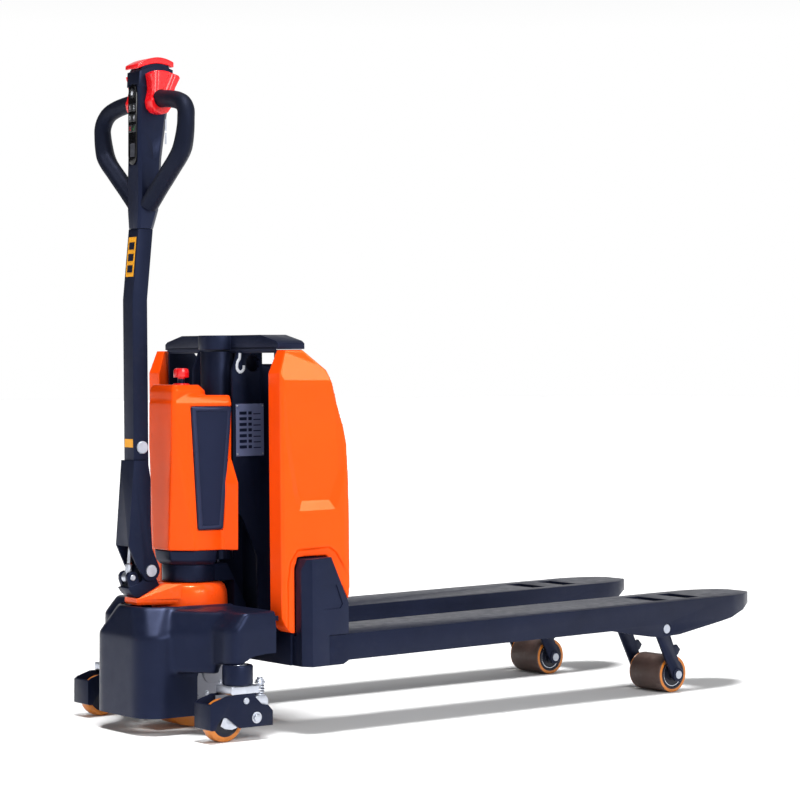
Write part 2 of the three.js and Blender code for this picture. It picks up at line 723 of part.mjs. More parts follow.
function throttle(side) {
  const { x, z } = GRIP_AXIS;
  const outline = [
    [x - 24, z + 47], [x - 20, z + 16], [x - 24, z - 4], [x - 15, z - 26], [x, z - 30], [x + 18, z - 22],
    [x + 26, z + 4], [x + 42, z + 42], [x + 24, z + 51], [x, z + 54], [x - 14, z + 53],
  ];
  const y0 = side > 0 ? 22.7 : -47;
  const y1 = side > 0 ? 47 : -22.7;
  return cut(prismY(outline, y0, y1, 3), barY(x, z, 17.6, -60, 60));
}

function bellyButton() {
  const outer = [];
  const inner = [];
  for (let i = 0; i <= 8; i += 1) {
    const x = HEAD.front - 14 + (i * 107) / 8;
    const rise = Math.sin(Math.PI * (0.12 + 0.0775 * i));
    outer.push([x, HEAD.top + 2 + 30 * rise]);
    inner.push([x, HEAD.top + 0.5 + 16 * rise]);
  }
  return prismY([...outer, ...inner.reverse()], -HEAD.halfWidth - 2, HEAD.halfWidth + 2);
}

// ---------------------------------------------------------------- keypad
function keyPositions() {
  const list = [];
  for (let row = 0; row < 3; row += 1) {
    for (const column of [1, -1]) list.push([column * KEY.pitchY / 2, KEY.top - row * KEY.pitchZ]);
  }
  return list;
}

function keyBlock(y, z, grow, x0, x1) {
  const w = KEY.width / 2 + grow;
  const h = KEY.height / 2 + grow;
  return box(x0, x1, y - w, y + w, z - h, z + h);
}

function keypadPanel() {
  const x0 = HEAD.front - 2;
  const x1 = HEAD.front + 1.2;
  const room = HOME_BUTTON.r + GAP;
  const half = [
    [0, 1240], [8, 1237.5], [13, 1231], [15, 1222], [15, 1104], [12.5, 1094], [7, 1088], [0, 1086],
  ];
  const outline = [...half, ...half.slice(1, -1).map(([y, z]) => [-y, z]).reverse()];
  return cut(
    prismX(outline, x0, x1),
    ...keyPositions().map(([y, z]) => keyBlock(y, z, GAP, x0 - 5, x1 + 5)),
    box(x0 - 5, x1 + 5, -room, room, HOME_BUTTON.z - room, HOME_BUTTON.z + room),
  );
}

// ---------------------------------------------------------------- buttons
function homeButton() {
  return barZ(0, 0, HOME_BUTTON.r, 0, 3.6)
    .rotateY(-Math.PI / 2)
    .translate(HEAD.front + 0.6, 0, HOME_BUTTON.z);
}

function emergencyStopButton() {
  return turnZ([[0, 668], [7, 668], [7, 678], [15, 678], [15, 694], [13, 697], [0, 697]], -206, 0, 18);
}

// ---------------------------------------------------------------- stabilising casters
function casterHousing(side) {
  return join(
    barZ(CASTER.x, side * CASTER.y, 29, 104, 142),
    barZ(CASTER.x, side * CASTER.y, 10, 140, 162.7, 12),
  );
}

function casterBracket(side) {
  const y = side * CASTER.y;
  const guard = [
    [-301, 28], [-301, 74], [-294, 79], [-265, 88], [-206, 88], [-185, 67], [-171, 65], [-160, 53],
    [-160, 26], [-236, 26], [-250, 37], [-262, 47], [-270, 49], [-277, 46], [-285, 37], [-291, 26],
    [-298, 26],
  ];
  const innerSide = y - side * 25.5;
  return cut(
    join(prismY(guard, y - 27, y + 27), box(-248, -198, y - 27, y + 27, 84, 103.6)),
    box(-298.5, -100, y - 24, y + 24, 0, 99),
    box(-256, -150, innerSide - 2, innerSide + 2, 0, 83.9),
  );
}

function casterArm(side) {
  const y = side * CASTER.y;
  const axleX = CASTER.x - CASTER.trail;
  const plate = linkOutline(axleX, CASTER.r, 12, -197, 44, 14);
  const parts = [
    barY(axleX, CASTER.r, 6, y - 22, y + 22, 16),
    barY(-197, 44, 6, y - 22, y + 22, 16),
    box(-206, -184, y - 20, y + 20, 40, 48),
  ];
  for (const dy of [-1, 1]) parts.push(prismY(plate, y + dy * 20 - 2, y + dy * 20 + 2));
  return join(...parts);
}

function casterWheel(side) {
  const half = CASTER.width / 2;
  const y = side * CASTER.y;
  return turnY([[6.3, -half], [CASTER.r - 2, -half], [CASTER.r, -half + 3], [CASTER.r, half - 3],
    [CASTER.r - 2, half], [6.3, half]], CASTER.x - CASTER.trail, y, CASTER.r, 28);
}

// ---------------------------------------------------------------- assembly
place(forkFrame, 'tower_frame', towerFrame(), 'blackSteel');
place(forkFrame, 'top_cap', topCap(), 'blackPlastic');
place(forkFrame, 'lift_ram', liftRam(), 'zinc');
place(forkFrame, 'lift_cylinder', liftCylinder(), 'blackSteel');
place(forkFrame, 'heel_rocker', heelRocker(), 'blackSteel');
for (const [name, side] of sides) {
  place(forkFrame, `fork_${name}`, fork(side), 'blackSteel');
  place(forkFrame, `roller_arm_${name}`, rollerArm(side), 'blackSteel');
  place(forkFrame, `load_roller_${name}`, loadRoller(side), 'rollerTread');
  place(forkFrame, `push_rod_${name}`, pushRod(side), 'zinc');
  place(forkFrame, `side_panel_${name}`, sidePanel(side), 'orange');
  place(forkFrame, `foot_cover_${name}`, footCover(side), 'blackPlastic');
}

place(model, 'drive_chassis', driveChassis(), 'blackSteel');
place(model, 'skirt_cover', skirtCover(), 'blackPlastic');
place(model, 'hood_cover', hoodCover(), 'orange');
place(model, 'hood_collar', hoodCollar(), 'blackPlastic');
place(model, 'battery_pack', batteryPack(), 'blackPlastic');
place(model, 'pump_unit', pumpUnit(), 'castGrey');
place(model, 'motor_controller', motorController(), 'castGrey');
place(model, 'emergency_stop_button', emergencyStopButton(), 'red');
place(model, 'steer_dome', steerDome(), 'orange');
place(model, 'drive_motor', driveMotor(), 'castGrey');
place(model, 'gearbox', gearbox(), 'castGrey');
place(model, 'drive_wheel_hub', driveWheelHub(), 'castGrey');
place(model, 'drive_wheel_tyre', driveWheelTyre(), 'tyre');
place(model, 'tiller_yoke', tillerYoke(), 'blackSteel');
place(model, 'tiller_pivot_pin', tillerPivotPin(), 'zinc');
place(model, 'tiller_bracket', tillerBracket(), 'blackSteel');
place(model, 'tiller_tube', tillerTube(), 'blackSteel');
place(model, 'gas_spring_rod', gasSpringRod(), 'zinc');
place(model, 'gas_spring_tube', gasSpringTube(), 'blackSteel');
place(model, 'head_housing', headHousing(), 'blackPlastic');
place(model, 'belly_button', bellyButton(), 'red');
place(model, 'keypad_panel', keypadPanel(), 'glossBlack');
keyPositions().forEach(([y, z], i) => {
  place(model, `key_${i + 1}`, keyBlock(y, z, 0, HEAD.front - 3, HEAD.front + 0.6), 'keyGrey');
});
place(model, 'home_button', homeButton(), 'keyGrey');
for (const [name, side] of sides) {
  place(model, `hood_insert_${name}`, insertBlock(side, 0), 'blackPlastic');
  place(model, `handle_loop_${name}`, handleLoop(side), 'blackPlastic');
  place(model, `throttle_${name}`, throttle(side), 'red');
  place(model, `caster_housing_${name}`, casterHousing(side), 'blackPlastic');
  place(model, `caster_bracket_${name}`, casterBracket(side), 'blackSteel');
  place(model, `caster_arm_${name}`, casterArm(side), 'zinc');
  place(model, `caster_wheel_${name}`, casterWheel(side), 'tyre');
}

export default truck;
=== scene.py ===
import json
import math

import bpy
import bmesh
from mathutils import Matrix, Vector


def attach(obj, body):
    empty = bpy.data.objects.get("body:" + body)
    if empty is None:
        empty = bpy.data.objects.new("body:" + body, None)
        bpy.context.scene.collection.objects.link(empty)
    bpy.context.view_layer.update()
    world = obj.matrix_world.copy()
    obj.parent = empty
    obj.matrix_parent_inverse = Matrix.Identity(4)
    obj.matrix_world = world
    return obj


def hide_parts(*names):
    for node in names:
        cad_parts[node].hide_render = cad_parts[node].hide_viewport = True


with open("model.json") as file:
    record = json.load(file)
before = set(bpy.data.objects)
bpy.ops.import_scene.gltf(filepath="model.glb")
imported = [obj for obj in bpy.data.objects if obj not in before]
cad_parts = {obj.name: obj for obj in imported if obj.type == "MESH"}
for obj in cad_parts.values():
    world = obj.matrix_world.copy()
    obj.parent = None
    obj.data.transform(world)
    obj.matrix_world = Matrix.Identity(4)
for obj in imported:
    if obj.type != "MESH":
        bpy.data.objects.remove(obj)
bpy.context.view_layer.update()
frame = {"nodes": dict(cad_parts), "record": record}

# ------------------------------------------------------------------ placing
# Shapes are drawn in millimetres from the load face, then moved into the row frame.
LOAD_FACE_X = -0.399
FORK_TOP = 0.19
FORK_RISE = 0.0124
TRUCK = Matrix.Translation((LOAD_FACE_X, 0, 0)) @ Matrix.Scale(0.001, 4)
FORKS = (Matrix.Translation((LOAD_FACE_X, 0, FORK_TOP))
         @ Matrix.Rotation(-FORK_RISE, 4, "Y") @ Matrix.Scale(0.001, 4))
SIDES = (("left", 1), ("right", -1))

# Places that several pieces share, and sizes used throughout.
STEER_AXIS = (-186, 0, 0)
DRIVE_AXLE = (-186, 0, 105)
STOP_AXIS = (-206, 0, 0)
LIFT_AXIS = (-114, 0, 0)
SPRING_EYE = (-327, 0, 296)
SPRING_LEAN = math.atan2(17, 202)
HOME_BUTTON = (0, 0, 1223)
GRIP_X, GRIP_Z = -281, 1212
HEAD_FRONT = -316
ROLLER_Y = 197
ROLLER_AXLE = (894.1, -161.1)
ARM_PIN = (845.4, -57.5)
CASTER_Y = 218
CASTER_POST_X = -222
CASTER_AXLE = (-257, 40)
CASTER_SPRING_X = -181
WIDE = 300  # past both sides of the truck
CLEAR = 1e-6  # closer than this to an axis or the middle line is on it
STEPS_PER_KNOT = 10


# ------------------------------------------------------------------ materials
def add_node(tree, kind, **values):
    node = tree.nodes.new(kind)
    for key, value in values.items():
        setattr(node, key, value)
    return node


def put(node, values):
    """Sets a node's input sockets by name."""
    for key, value in values.items():
        node.inputs[key].default_value = value


def noise(tree, where, scale, detail=3.0, rough=0.55):
    node = add_node(tree, "ShaderNodeTexNoise")
    put(node, {"Scale": scale, "Detail": detail, "Roughness": rough})
    tree.links.new(where, node.inputs["Vector"])
    return node.outputs["Fac"]


def spread(tree, factor, low, high, start=0.3, end=0.7):
    node = add_node(tree, "ShaderNodeMapRange")
    put(node, {"From Min": start, "From Max": end, "To Min": low, "To Max": high})
    tree.links.new(factor, node.inputs["Value"])
    return node.outputs["Result"]


def blend_colour(tree, factor, first, second):
    node = add_node(tree, "ShaderNodeMix", data_type="RGBA")
    tree.links.new(factor, node.inputs["Factor"])
    for socket, value in ((node.inputs[6], first), (node.inputs[7], second)):
        if isinstance(value, bpy.types.NodeSocket):
            tree.links.new(value, socket)
        else:
            socket.default_value = (*value, 1.0)
    return node.outputs[2]


def finish_of(name, colour, rough, metal=0.0, coat=0.0, specular=0.5, cloud=0.12, cloud_scale=9.0,
              rough_swing=0.06, grain=700.0, bump=0.05, dust=0.0, streak=None, sheen=(1.0, 1.0, 1.0)):
    """A procedural surface: clouded colour, uneven gloss, fine grain, and a little dust in patches."""
    made = bpy.data.materials.new(name)
    made.use_nodes = True
    tree = made.node_tree
    shader = tree.nodes["Principled BSDF"]
    put(shader, {"Metallic": metal, "Coat Weight": coat, "Coat Roughness": 0.08,
                 "Specular IOR Level": specular, "Specular Tint": (*sheen, 1.0)})
    where = add_node(tree, "ShaderNodeTexCoord").outputs["Object"]
    if streak:
        stretch = add_node(tree, "ShaderNodeMapping")
        put(stretch, {"Scale": streak})
        tree.links.new(where, stretch.inputs["Vector"])
        fine_where = stretch.outputs["Vector"]
    else:
        fine_where = where
    big = noise(tree, where, cloud_scale, 4.0)
    fine = noise(tree, fine_where, grain, 2.0)
    dark = tuple(c * (1 - cloud) for c in colour)
    light = tuple(min(1.0, c * (1 + cloud)) for c in colour)
    tint = blend_colour(tree, spread(tree, big, 0, 1), dark, light)
    if dust:
        patches = spread(tree, noise(tree, where, 34.0, 8.0, 0.7), 0, dust, 0.55, 0.8)
        tint = blend_colour(tree, patches, tint, (0.30, 0.28, 0.26))
    tree.links.new(tint, shader.inputs["Base Color"])
    gloss = spread(tree, noise(tree, where, 46.0, 6.0, 0.62), rough - rough_swing, rough + rough_swing)
    tree.links.new(gloss, shader.inputs["Roughness"])
    relief = add_node(tree, "ShaderNodeBump")
    put(relief, {"Strength": bump, "Distance": 0.0006})
    tree.links.new(fine, relief.inputs["Height"])
    tree.links.new(relief.outputs["Normal"], shader.inputs["Normal"])
    return made


NAVY = (0.42, 0.52, 1.0)
WARM = (1.0, 0.42, 0.12)
ORANGE = finish_of("orange_gloss", (0.93, 0.070, 0.003), 0.22, coat=0.10, cloud=0.04, grain=260, bump=0.04,
                   rough_swing=0.03, sheen=WARM)
DOME_ORANGE = finish_of("orange_cast_paint", (0.90, 0.075, 0.006), 0.30, coat=0.15, cloud=0.12, grain=180,
                        bump=0.30, dust=0.12, sheen=WARM)
BLACK_STEEL = finish_of("black_satin_paint", (0.0045, 0.0062, 0.0160), 0.40, cloud=0.25, grain=420,
                        bump=0.12, dust=0.015, specular=0.26, sheen=NAVY)
BLACK_PLASTIC = finish_of("black_moulding", (0.0052, 0.0072, 0.0185), 0.38, cloud=0.20, grain=900,
                          bump=0.16, dust=0.01, specular=0.32, sheen=NAVY)
GRIP = finish_of("grip_rubber", (0.0040, 0.0050, 0.010), 0.56, cloud=0.2, grain=1300, bump=0.35,
                 specular=0.22, sheen=NAVY)
GLOSS_BLACK = finish_of("gloss_membrane", (0.003, 0.003, 0.004), 0.16, cloud=0.2, grain=300, bump=0.02,
                        specular=0.35)
KEY_GREY = finish_of("key_face", (0.010, 0.011, 0.015), 0.34, cloud=0.15, grain=900, bump=0.1)
INSERT = finish_of("insert_blue_black", (0.0070, 0.0090, 0.0230), 0.38, cloud=0.12, grain=800, bump=0.1,
                   specular=0.30, sheen=NAVY)
INSERT_RIM = finish_of("insert_rim_grey", (0.018, 0.021, 0.045), 0.32, cloud=0.12, grain=800, bump=0.08,
                       specular=0.35, sheen=NAVY)
RED = finish_of("red_gloss", (0.80, 0.006, 0.010), 0.27, coat=0.25, cloud=0.06, grain=500, bump=0.05)
ZINC = finish_of("zinc_plate", (0.50, 0.53, 0.60), 0.36, metal=0.9, cloud=0.12, cloud_scale=60, grain=900,
                 bump=0.10, rough_swing=0.10)
PIN = finish_of("pin_face", (0.40, 0.43, 0.50), 0.50, metal=0.3, cloud=0.08, cloud_scale=60, grain=900,
                bump=0.08)
CAST = finish_of("grey_casting", (0.27, 0.28, 0.33), 0.50, metal=0.2, cloud=0.15, grain=500, bump=0.35)
AMBER = finish_of("amber_polyurethane", (0.54, 0.165, 0.016), 0.38, cloud=0.12, cloud_scale=24, grain=500,
                  bump=0.10, dust=0.10)
TREAD = finish_of("brown_tread", (0.090, 0.055, 0.047), 0.50, cloud=0.18, cloud_scale=30, grain=500,
                  bump=0.18, dust=0.30, streak=(1, 0.08, 1))
DARK_HUB = finish_of("dark_wheel_core", (0.008, 0.010, 0.022), 0.45, cloud=0.15, grain=700, bump=0.1,
                     specular=0.3)
WHITE_INK = finish_of("white_ink", (0.62, 0.64, 0.70), 0.45, cloud=0.03, grain=900, bump=0.02)
YELLOW = finish_of("yellow_label", (0.80, 0.34, 0.008), 0.40, cloud=0.04, grain=900, bump=0.03)
PLATE = finish_of("etched_plate", (0.13, 0.15, 0.27), 0.36, cloud=0.10, cloud_scale=14, grain=900,
                  bump=0.08, streak=(1, 1, 0.1))
LENS = finish_of("display_lens", (0.060, 0.062, 0.075), 0.10, cloud=0.10, cloud_scale=60, grain=300,
                 bump=0.01)
KEY_RED = finish_of("key_red_ink", (0.35, 0.012, 0.012), 0.4, cloud=0.05)
KEY_GREEN = finish_of("key_green_ink", (0.015, 0.16, 0.03), 0.4, cloud=0.05)

# The finishes of each material slot; CAD nodes carried over take the first.
SLOT_FINISHES = {
    "orange_paint": (ORANGE, DOME_ORANGE), "black_steel": (BLACK_STEEL,),
    "black_plastic": (BLACK_PLASTIC, GRIP, INSERT, INSERT_RIM, DARK_HUB),
    "gloss_black": (GLOSS_BLACK, LENS), "key_grey": (KEY_GREY, KEY_RED, KEY_GREEN),
    "red_plastic": (RED,), "zinc_steel": (ZINC, PIN, WHITE_INK, YELLOW, PLATE),
    "cast_metal": (CAST,), "pu_tyre": (AMBER,), "roller_tread": (TREAD,),
}
NODE_SLOT = {entry["node"]: entry["material_slot"] for entry in frame["record"]["subparts"]}
NODE_BODY = {node: body for body, nodes in frame["record"]["behaviour"]["bodies"].items() for node in nodes}
for node_name, cad in frame["nodes"].items():
    cad.data.materials.clear()
    cad.data.materials.append(SLOT_FINISHES[NODE_SLOT[node_name]][0])


# ------------------------------------------------------------------ mesh building
def made_object(name, data):
    item = bpy.data.objects.new(name, data)
    bpy.context.scene.collection.objects.link(item)
    return item


def from_bmesh(name, work):
    bmesh.ops.recalc_face_normals(work, faces=work.faces)
    mesh = bpy.data.meshes.new(name)
    work.to_mesh(mesh)
    work.free()
    return made_object(name, mesh)


def hull(name, points):
    work = bmesh.new()
    for point in points:
        work.verts.new(point)
    found = bmesh.ops.convex_hull(work, input=work.verts)
    spare = [v for v in found["geom_interior"] if isinstance(v, bmesh.types.BMVert)]
    bmesh.ops.delete(work, geom=spare, context="VERTS")
    bmesh.ops.dissolve_limit(work, angle_limit=0.02, verts=work.verts, edges=work.edges)
    return from_bmesh(name, work)


def levels(name, rows):
    """The convex block through level outlines given as (z, [(x, y), ...])."""
    return hull(name, [(x, y, z) for z, outline in rows for x, y in outline])


def prism(name, outline, axis, low, high):
    """An outline drawn out along an axis: (x, z) pairs along Y, (y, z) along X, (x, y) along Z."""
    def corner(a, b, t):
        return {"X": (t, a, b), "Y": (a, t, b), "Z": (a, b, t)}[axis]
    work = bmesh.new()
    first = [work.verts.new(corner(a, b, low)) for a, b in outline]
    last = [work.verts.new(corner(a, b, high)) for a, b in outline]
    work.faces.new(first)
    work.faces.new(last)
    for i in range(len(outline)):
        j = (i + 1) % len(outline)
        work.faces.new((first[i], first[j], last[j], last[i]))
    return from_bmesh(name, work)


def block(name, x0, x1, y0, y1, z0, z1):
    return prism(name, [(x0, z0), (x1, z0), (x1, z1), (x0, z1)], "Y", min(y0, y1), max(y0, y1))


def lathe(name, profile, centre, axis="Y", count=64):
    """(radius, along) points turned about an axis through centre."""
    rings = []
    work = bmesh.new()
    for i in range(count):
        a = 2 * math.pi * i / count
        c, s = math.cos(a), math.sin(a)
        ring = []
        for r, h in profile:
            spot = {"Y": (r * c, h, r * s), "Z": (r * c, r * s, h), "X": (h, r * c, r * s)}[axis]
            ring.append(work.verts.new(Vector(spot) + Vector(centre)))
        rings.append(ring)
    for i in range(count):
        a, b = rings[i], rings[(i + 1) % count]
        for k in range(len(profile)):
            m = (k + 1) % len(profile)
            if profile[k][0] < CLEAR and profile[m][0] < CLEAR:
                continue
            work.faces.new((a[k], a[m], b[m], b[k]))
    bmesh.ops.remove_doubles(work, verts=work.verts, dist=1e-4)
    bmesh.ops.dissolve_degenerate(work, edges=work.edges, dist=1e-4)
    return from_bmesh(name, work)


def skin(work, rings):
    """Faces between rings of points that follow each other, and one over each end."""
    for a, b in zip(rings, rings[1:]):
        for k in range(len(a)):
            m = (k + 1) % len(a)
            work.faces.new((a[k], a[m], b[m], b[k]))
    work.faces.new(rings[0])
    work.faces.new(rings[-1])


def sweep(name, route, section, count):
    """A section (function of angle and share of length giving two offsets) along a smooth route."""
    knots = [Vector(p) for p in route]
    line = []
    for i in range(len(knots) - 1):
        p0 = knots[max(i - 1, 0)]
        p1, p2 = knots[i], knots[i + 1]
        p3 = knots[min(i + 2, len(knots) - 1)]
        for k in range(STEPS_PER_KNOT):
            t = k / STEPS_PER_KNOT
            line.append(0.5 * ((2 * p1) + (p2 - p0) * t + (2 * p0 - 5 * p1 + 4 * p2 - p3) * t * t
                               + (3 * p1 - p0 - 3 * p2 + p3) * t * t * t))
    line.append(knots[-1])
    work = bmesh.new()
    rings = []
    side = Vector((1, 0, 0))
    for i, spot in enumerate(line):
        ahead = (line[min(i + 1, len(line) - 1)] - line[max(i - 1, 0)]).normalized()
        across = (side - ahead * side.dot(ahead)).normalized()
        other = ahead.cross(across)
        share = i / (len(line) - 1)
        ring = []
        for k in range(count):
            u, v = section(2 * math.pi * k / count, share)
            ring.append(work.verts.new(spot + across * u + other * v))
        rings.append(ring)
    skin(work, rings)
    return from_bmesh(name, work)


def applied(item):
    """Makes an object's modifiers real."""
    bpy.context.view_layer.update()
    graph = bpy.context.evaluated_depsgraph_get()
    mesh = bpy.data.meshes.new_from_object(item.evaluated_get(graph))
    item.modifiers.clear()
    item.data = mesh


def modify(item, kind, **settings):
    """Adds a modifier to an object, for applied() to make real."""
    step = item.modifiers.new(kind.lower(), kind)
    for key, value in settings.items():
        setattr(step, key, value)


def boolean(item, tool, operation="DIFFERENCE", material_mode="INDEX"):
    modify(item, "BOOLEAN", object=tool, operation=operation, solver="EXACT", material_mode=material_mode)
    applied(item)
    bpy.data.objects.remove(tool)


def less(item, *tools):
    for tool in tools:
        boolean(item, tool)


def moulded(item, voxel, rounds, keep):
    """Blends every edge of a closed block into a soft moulded radius."""
    modify(item, "REMESH", mode="VOXEL", voxel_size=voxel)
    modify(item, "SMOOTH", factor=0.5, iterations=rounds)
    applied(item)
    modify(item, "DECIMATE", ratio=keep)
    applied(item)


def open_below(item, z):
    """Removes what is under a level, leaving the shell open."""
    work = bmesh.new()
    work.from_mesh(item.data)
    geometry = work.verts[:] + work.edges[:] + work.faces[:]
    bmesh.ops.bisect_plane(work, geom=geometry, plane_co=(0, 0, z), plane_no=(0, 0, 1), clear_inner=True)
    work.to_mesh(item.data)
    work.free()


def shell(item, wall):
    modify(item, "SOLIDIFY", thickness=wall, offset=-1, use_even_offset=False)
    applied(item)


def bevelled(item, width, segments=3, angle=32):
    modify(item, "BEVEL", width=width, segments=segments, limit_method="ANGLE",
           angle_limit=math.radians(angle), use_clamp_overlap=True)
    applied(item)


def joined(name, items):
    work = bmesh.new()
    for item in items:
        work.from_mesh(item.data)
        bpy.data.objects.remove(item)
    mesh = bpy.data.meshes.new(name)
    work.to_mesh(mesh)
    work.free()
    return made_object(name, mesh)


def settle(item, body, surface, place=TRUCK, node=None, sharp=35, flat=False):
    """Moves a piece from drawing millimetres into the row frame and makes it ride."""
    item.data.transform(place)
    if place.to_3x3().determinant() < 0:
        item.data.flip_normals()
    item.data.materials.clear()
    item.data.materials.append(surface)
    for face in item.data.polygons:
        face.material_index = 0
    if not flat:
        item.data.shade_smooth()
        item.data.set_sharp_from_angle(angle=math.radians(sharp))
    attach(item, body)
    if node:
        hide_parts(node)


def refined(node, width, segments=2, surface=None, angle=32):
    """A CAD piece with its flats merged and its edges rounded."""
    work = bmesh.new()
    work.from_mesh(frame["nodes"][node].data)
    bmesh.ops.remove_doubles(work, verts=work.verts, dist=2e-5)
    bmesh.ops.dissolve_limit(work, angle_limit=math.radians(1.0), verts=work.verts, edges=work.edges)
    work.normal_update()
    mesh = bpy.data.meshes.new("shape_" + node)
    work.to_mesh(mesh)
    work.free()
    item = made_object(node + "_finish", mesh)
    bevelled(item, width * 0.001, segments, angle)
    slot = NODE_SLOT[node]
    settle(item, NODE_BODY[node], surface or SLOT_FINISHES[slot][0], Matrix.Identity(4), node)


def bolt(name, spot, axis, r, body, surface=ZINC, height=5.0, place=TRUCK, out=1):
    """A hexagon bolt head on a washer, standing out from spot."""
    head = [(0, 0), (r, 0), (r, height * 0.8), (r * 0.86, height), (0, height)]
    washer = [(0, 0), (r * 1.35, 0), (r * 1.35, height * 0.22), (0, height * 0.22)]
    turned = lathe(name, [(a, out * b) for a, b in head], spot, axis, 6)
    ring = lathe(name + "_w", [(a, out * b) for a, b in washer], spot, axis, 32)
    item = joined(name, [turned, ring])
    bevelled(item, 0.25, 1)
    settle(item, body, surface, place)


def disc(name, spot, axis, r, thick, body, surface, place=TRUCK, out=1, edge=0.8):
    profile = [(0, 0), (r, 0), (r, thick - edge), (r - edge, thick), (0, thick)]
    turned = lathe(name, [(a, out * b) for a, b in profile], spot, axis, 48)
    settle(turned, body, surface, place)


def end_tag(end):
    """The suffix of a piece at the right (negative y) or left end of an axle."""
    return "_a" if end < 0 else "_b"


def on_side(side, outline):
    """(x, y) points drawn for the left side, carried over to one side."""
    return [(x, side * y) for x, y in outline]


def both_halves(half):
    """A closed (y, z) outline from its left half, whose ends are on the middle line."""
    return half + [(-y, z) for y, z in reversed(half[1:-1])]


def mirror_half(half):
    """A closed (x, y) outline from its left half."""
    return half + [(x, -y) for x, y in reversed(half) if abs(y) > CLEAR]


# ------------------------------------------------------------------ drive cover
def drive_cover():
    """Smooth front block with shoulders over the casters, cut open round the steering dome."""
    front, half, corner, rear = -351, 103.5, 52, -120
    turns = [i * math.pi / 16 for i in range(9)]
    low = [(front + corner - corner * math.cos(a), half - corner + corner * math.sin(a)) for a in turns]
    low.append((rear, half))
    crown = [(-333, 20, 242), (-320, 46, 242), (-288, 72, 243), (-230, 88, 243), (-120, 88, 241)]
    points = []
    for side in (1, -1):
        for x, y in low:
            points.append((x, side * y, 20))
            points.append((x, side * y, 186))
        for x, y, z in crown:
            points.append((x, side * y, z))
    body = hull("skirt_finish", points)
    for side in (1, -1):
        foot = [(-248, 60), (-246, 210), (-240, 228), (-230, 235), (-118, 236), (-118, 60)]
        top = [(-223, 60), (-217, 206), (-212, 226), (-205, 231), (-118, 231), (-118, 60)]
        wing = levels("wing", [(140, on_side(side, foot)), (206, on_side(side, foot)),
                               (238.5, on_side(side, top))])
        boolean(body, wing, "UNION")
        web = [(-300, 96), (-262, 128), (-243, 172), (-230, 172), (-200, 96)]
        lift = [(-278, 84), (-246, 124), (-226, 168), (-205, 168), (-190, 84)]
        fillet = levels("fillet", [(120, on_side(side, web)), (196, on_side(side, web)),
                                   (236, on_side(side, lift))])
        boolean(body, fillet, "UNION")
    moulded(body, 3.2, 18, 0.30)
    open_below(body, 34)
    tool = bpy.data.materials.new("cutter")
    body.data.materials.append(bpy.data.materials.new("skin"))
    arch = [(-236, -20), (-236, 108), (-230, 132), (-217, 147), (-198, 156), (-170, 159.5), (-90, 159.5),
            (-90, -20)]
    rim = mirror_half([(-328, 0), (-326, 22), (-319, 42), (-299, 62), (-264, 77), (-225, 81), (-60, 81)])
    cutters = [prism("arch", arch, "Y", -WIDE, WIDE), prism("rim", rim, "Z", 200, 320),
               block("rear", -146, -60, -WIDE, WIDE, -20, 300)]
    for cutter in cutters:
        cutter.data.materials.append(tool)
        boolean(body, cutter, material_mode="TRANSFER")
    work = bmesh.new()
    work.from_mesh(body.data)
    index = [i for i, m in enumerate(body.data.materials) if m and m.name.startswith("cutter")]
    bmesh.ops.delete(work, geom=[f for f in work.faces if f.material_index in index], context="FACES")
    bmesh.ops.remove_doubles(work, verts=work.verts, dist=0.05)
    work.to_mesh(body.data)
    work.free()
    shell(body, 3.5)
    settle(body, "drive_base", BLACK_PLASTIC, node="skirt_cover", sharp=50)


# ------------------------------------------------------------------ battery hood
def hood():
    low = mirror_half([(-253, 0), (-253, 29), (-216, 66), (-158, 74), (-139.5, 76.5)])
    high = mirror_half([(-254, 0), (-254, 40), (-249, 46), (-139.5, 76.5)])
    crown = mirror_half([(-248, 0), (-248, 37), (-243, 43), (-139.5, 71)])
    body = levels("hood_finish", [(345, low), (540, high), (630, high), (645, crown)])
    pod = mirror_half([(-253, 0), (-253, 40), (-247, 45), (-190, 51), (-180, 44)])
    lid = mirror_half([(-248, 0), (-248, 36), (-242, 41), (-198, 45), (-190, 38)])
    boolean(body, levels("pod", [(600, pod), (654, pod), (665, lid)]), "UNION")
    for side in (1, -1):
        ear = [(-166, 60), (-158, 74), (-141, 101), (-139.5, 101), (-139.5, 60)]
        tuck = [(-160, 60), (-150, 74), (-139.5, 77), (-139.5, 60)]
        flank = levels("ear", [(345, on_side(side, ear)), (476, on_side(side, ear)),
                               (522, on_side(side, tuck))])
        boolean(body, flank, "UNION")
    moulded(body, 2.0, 7, 0.30)
    less(body, *[insert_block("recess", side, 1.6, 5.2, 1.0) for side in (1, -1)],
         block("mast_slot", -164, -100, -41.5, 41.5, 300, 700),
         lathe("well", [(0, 655), (17.5, 655), (17.5, 700), (0, 700)], STOP_AXIS, "Z", 48))
    settle(body, "drive_base", ORANGE, node="hood_cover", sharp=40)


def insert_block(name, side, grow, inward, outward):
    """The long tapered trim panel on each side facet of the hood."""
    rows = []
    ends = ((385 - grow, (-210, 66.2), (-160, 75.2)), (623 + grow, (-219, 55), (-141, 76.4)))
    for z, (xa, ya), (xb, yb) in ends:
        rows += [(xa - grow, side * (ya + outward), z), (xb + grow, side * (yb + outward), z),
                 (xb + grow, side * (yb - inward), z), (xa - grow, side * (ya - inward), z)]
    return hull(name, rows)


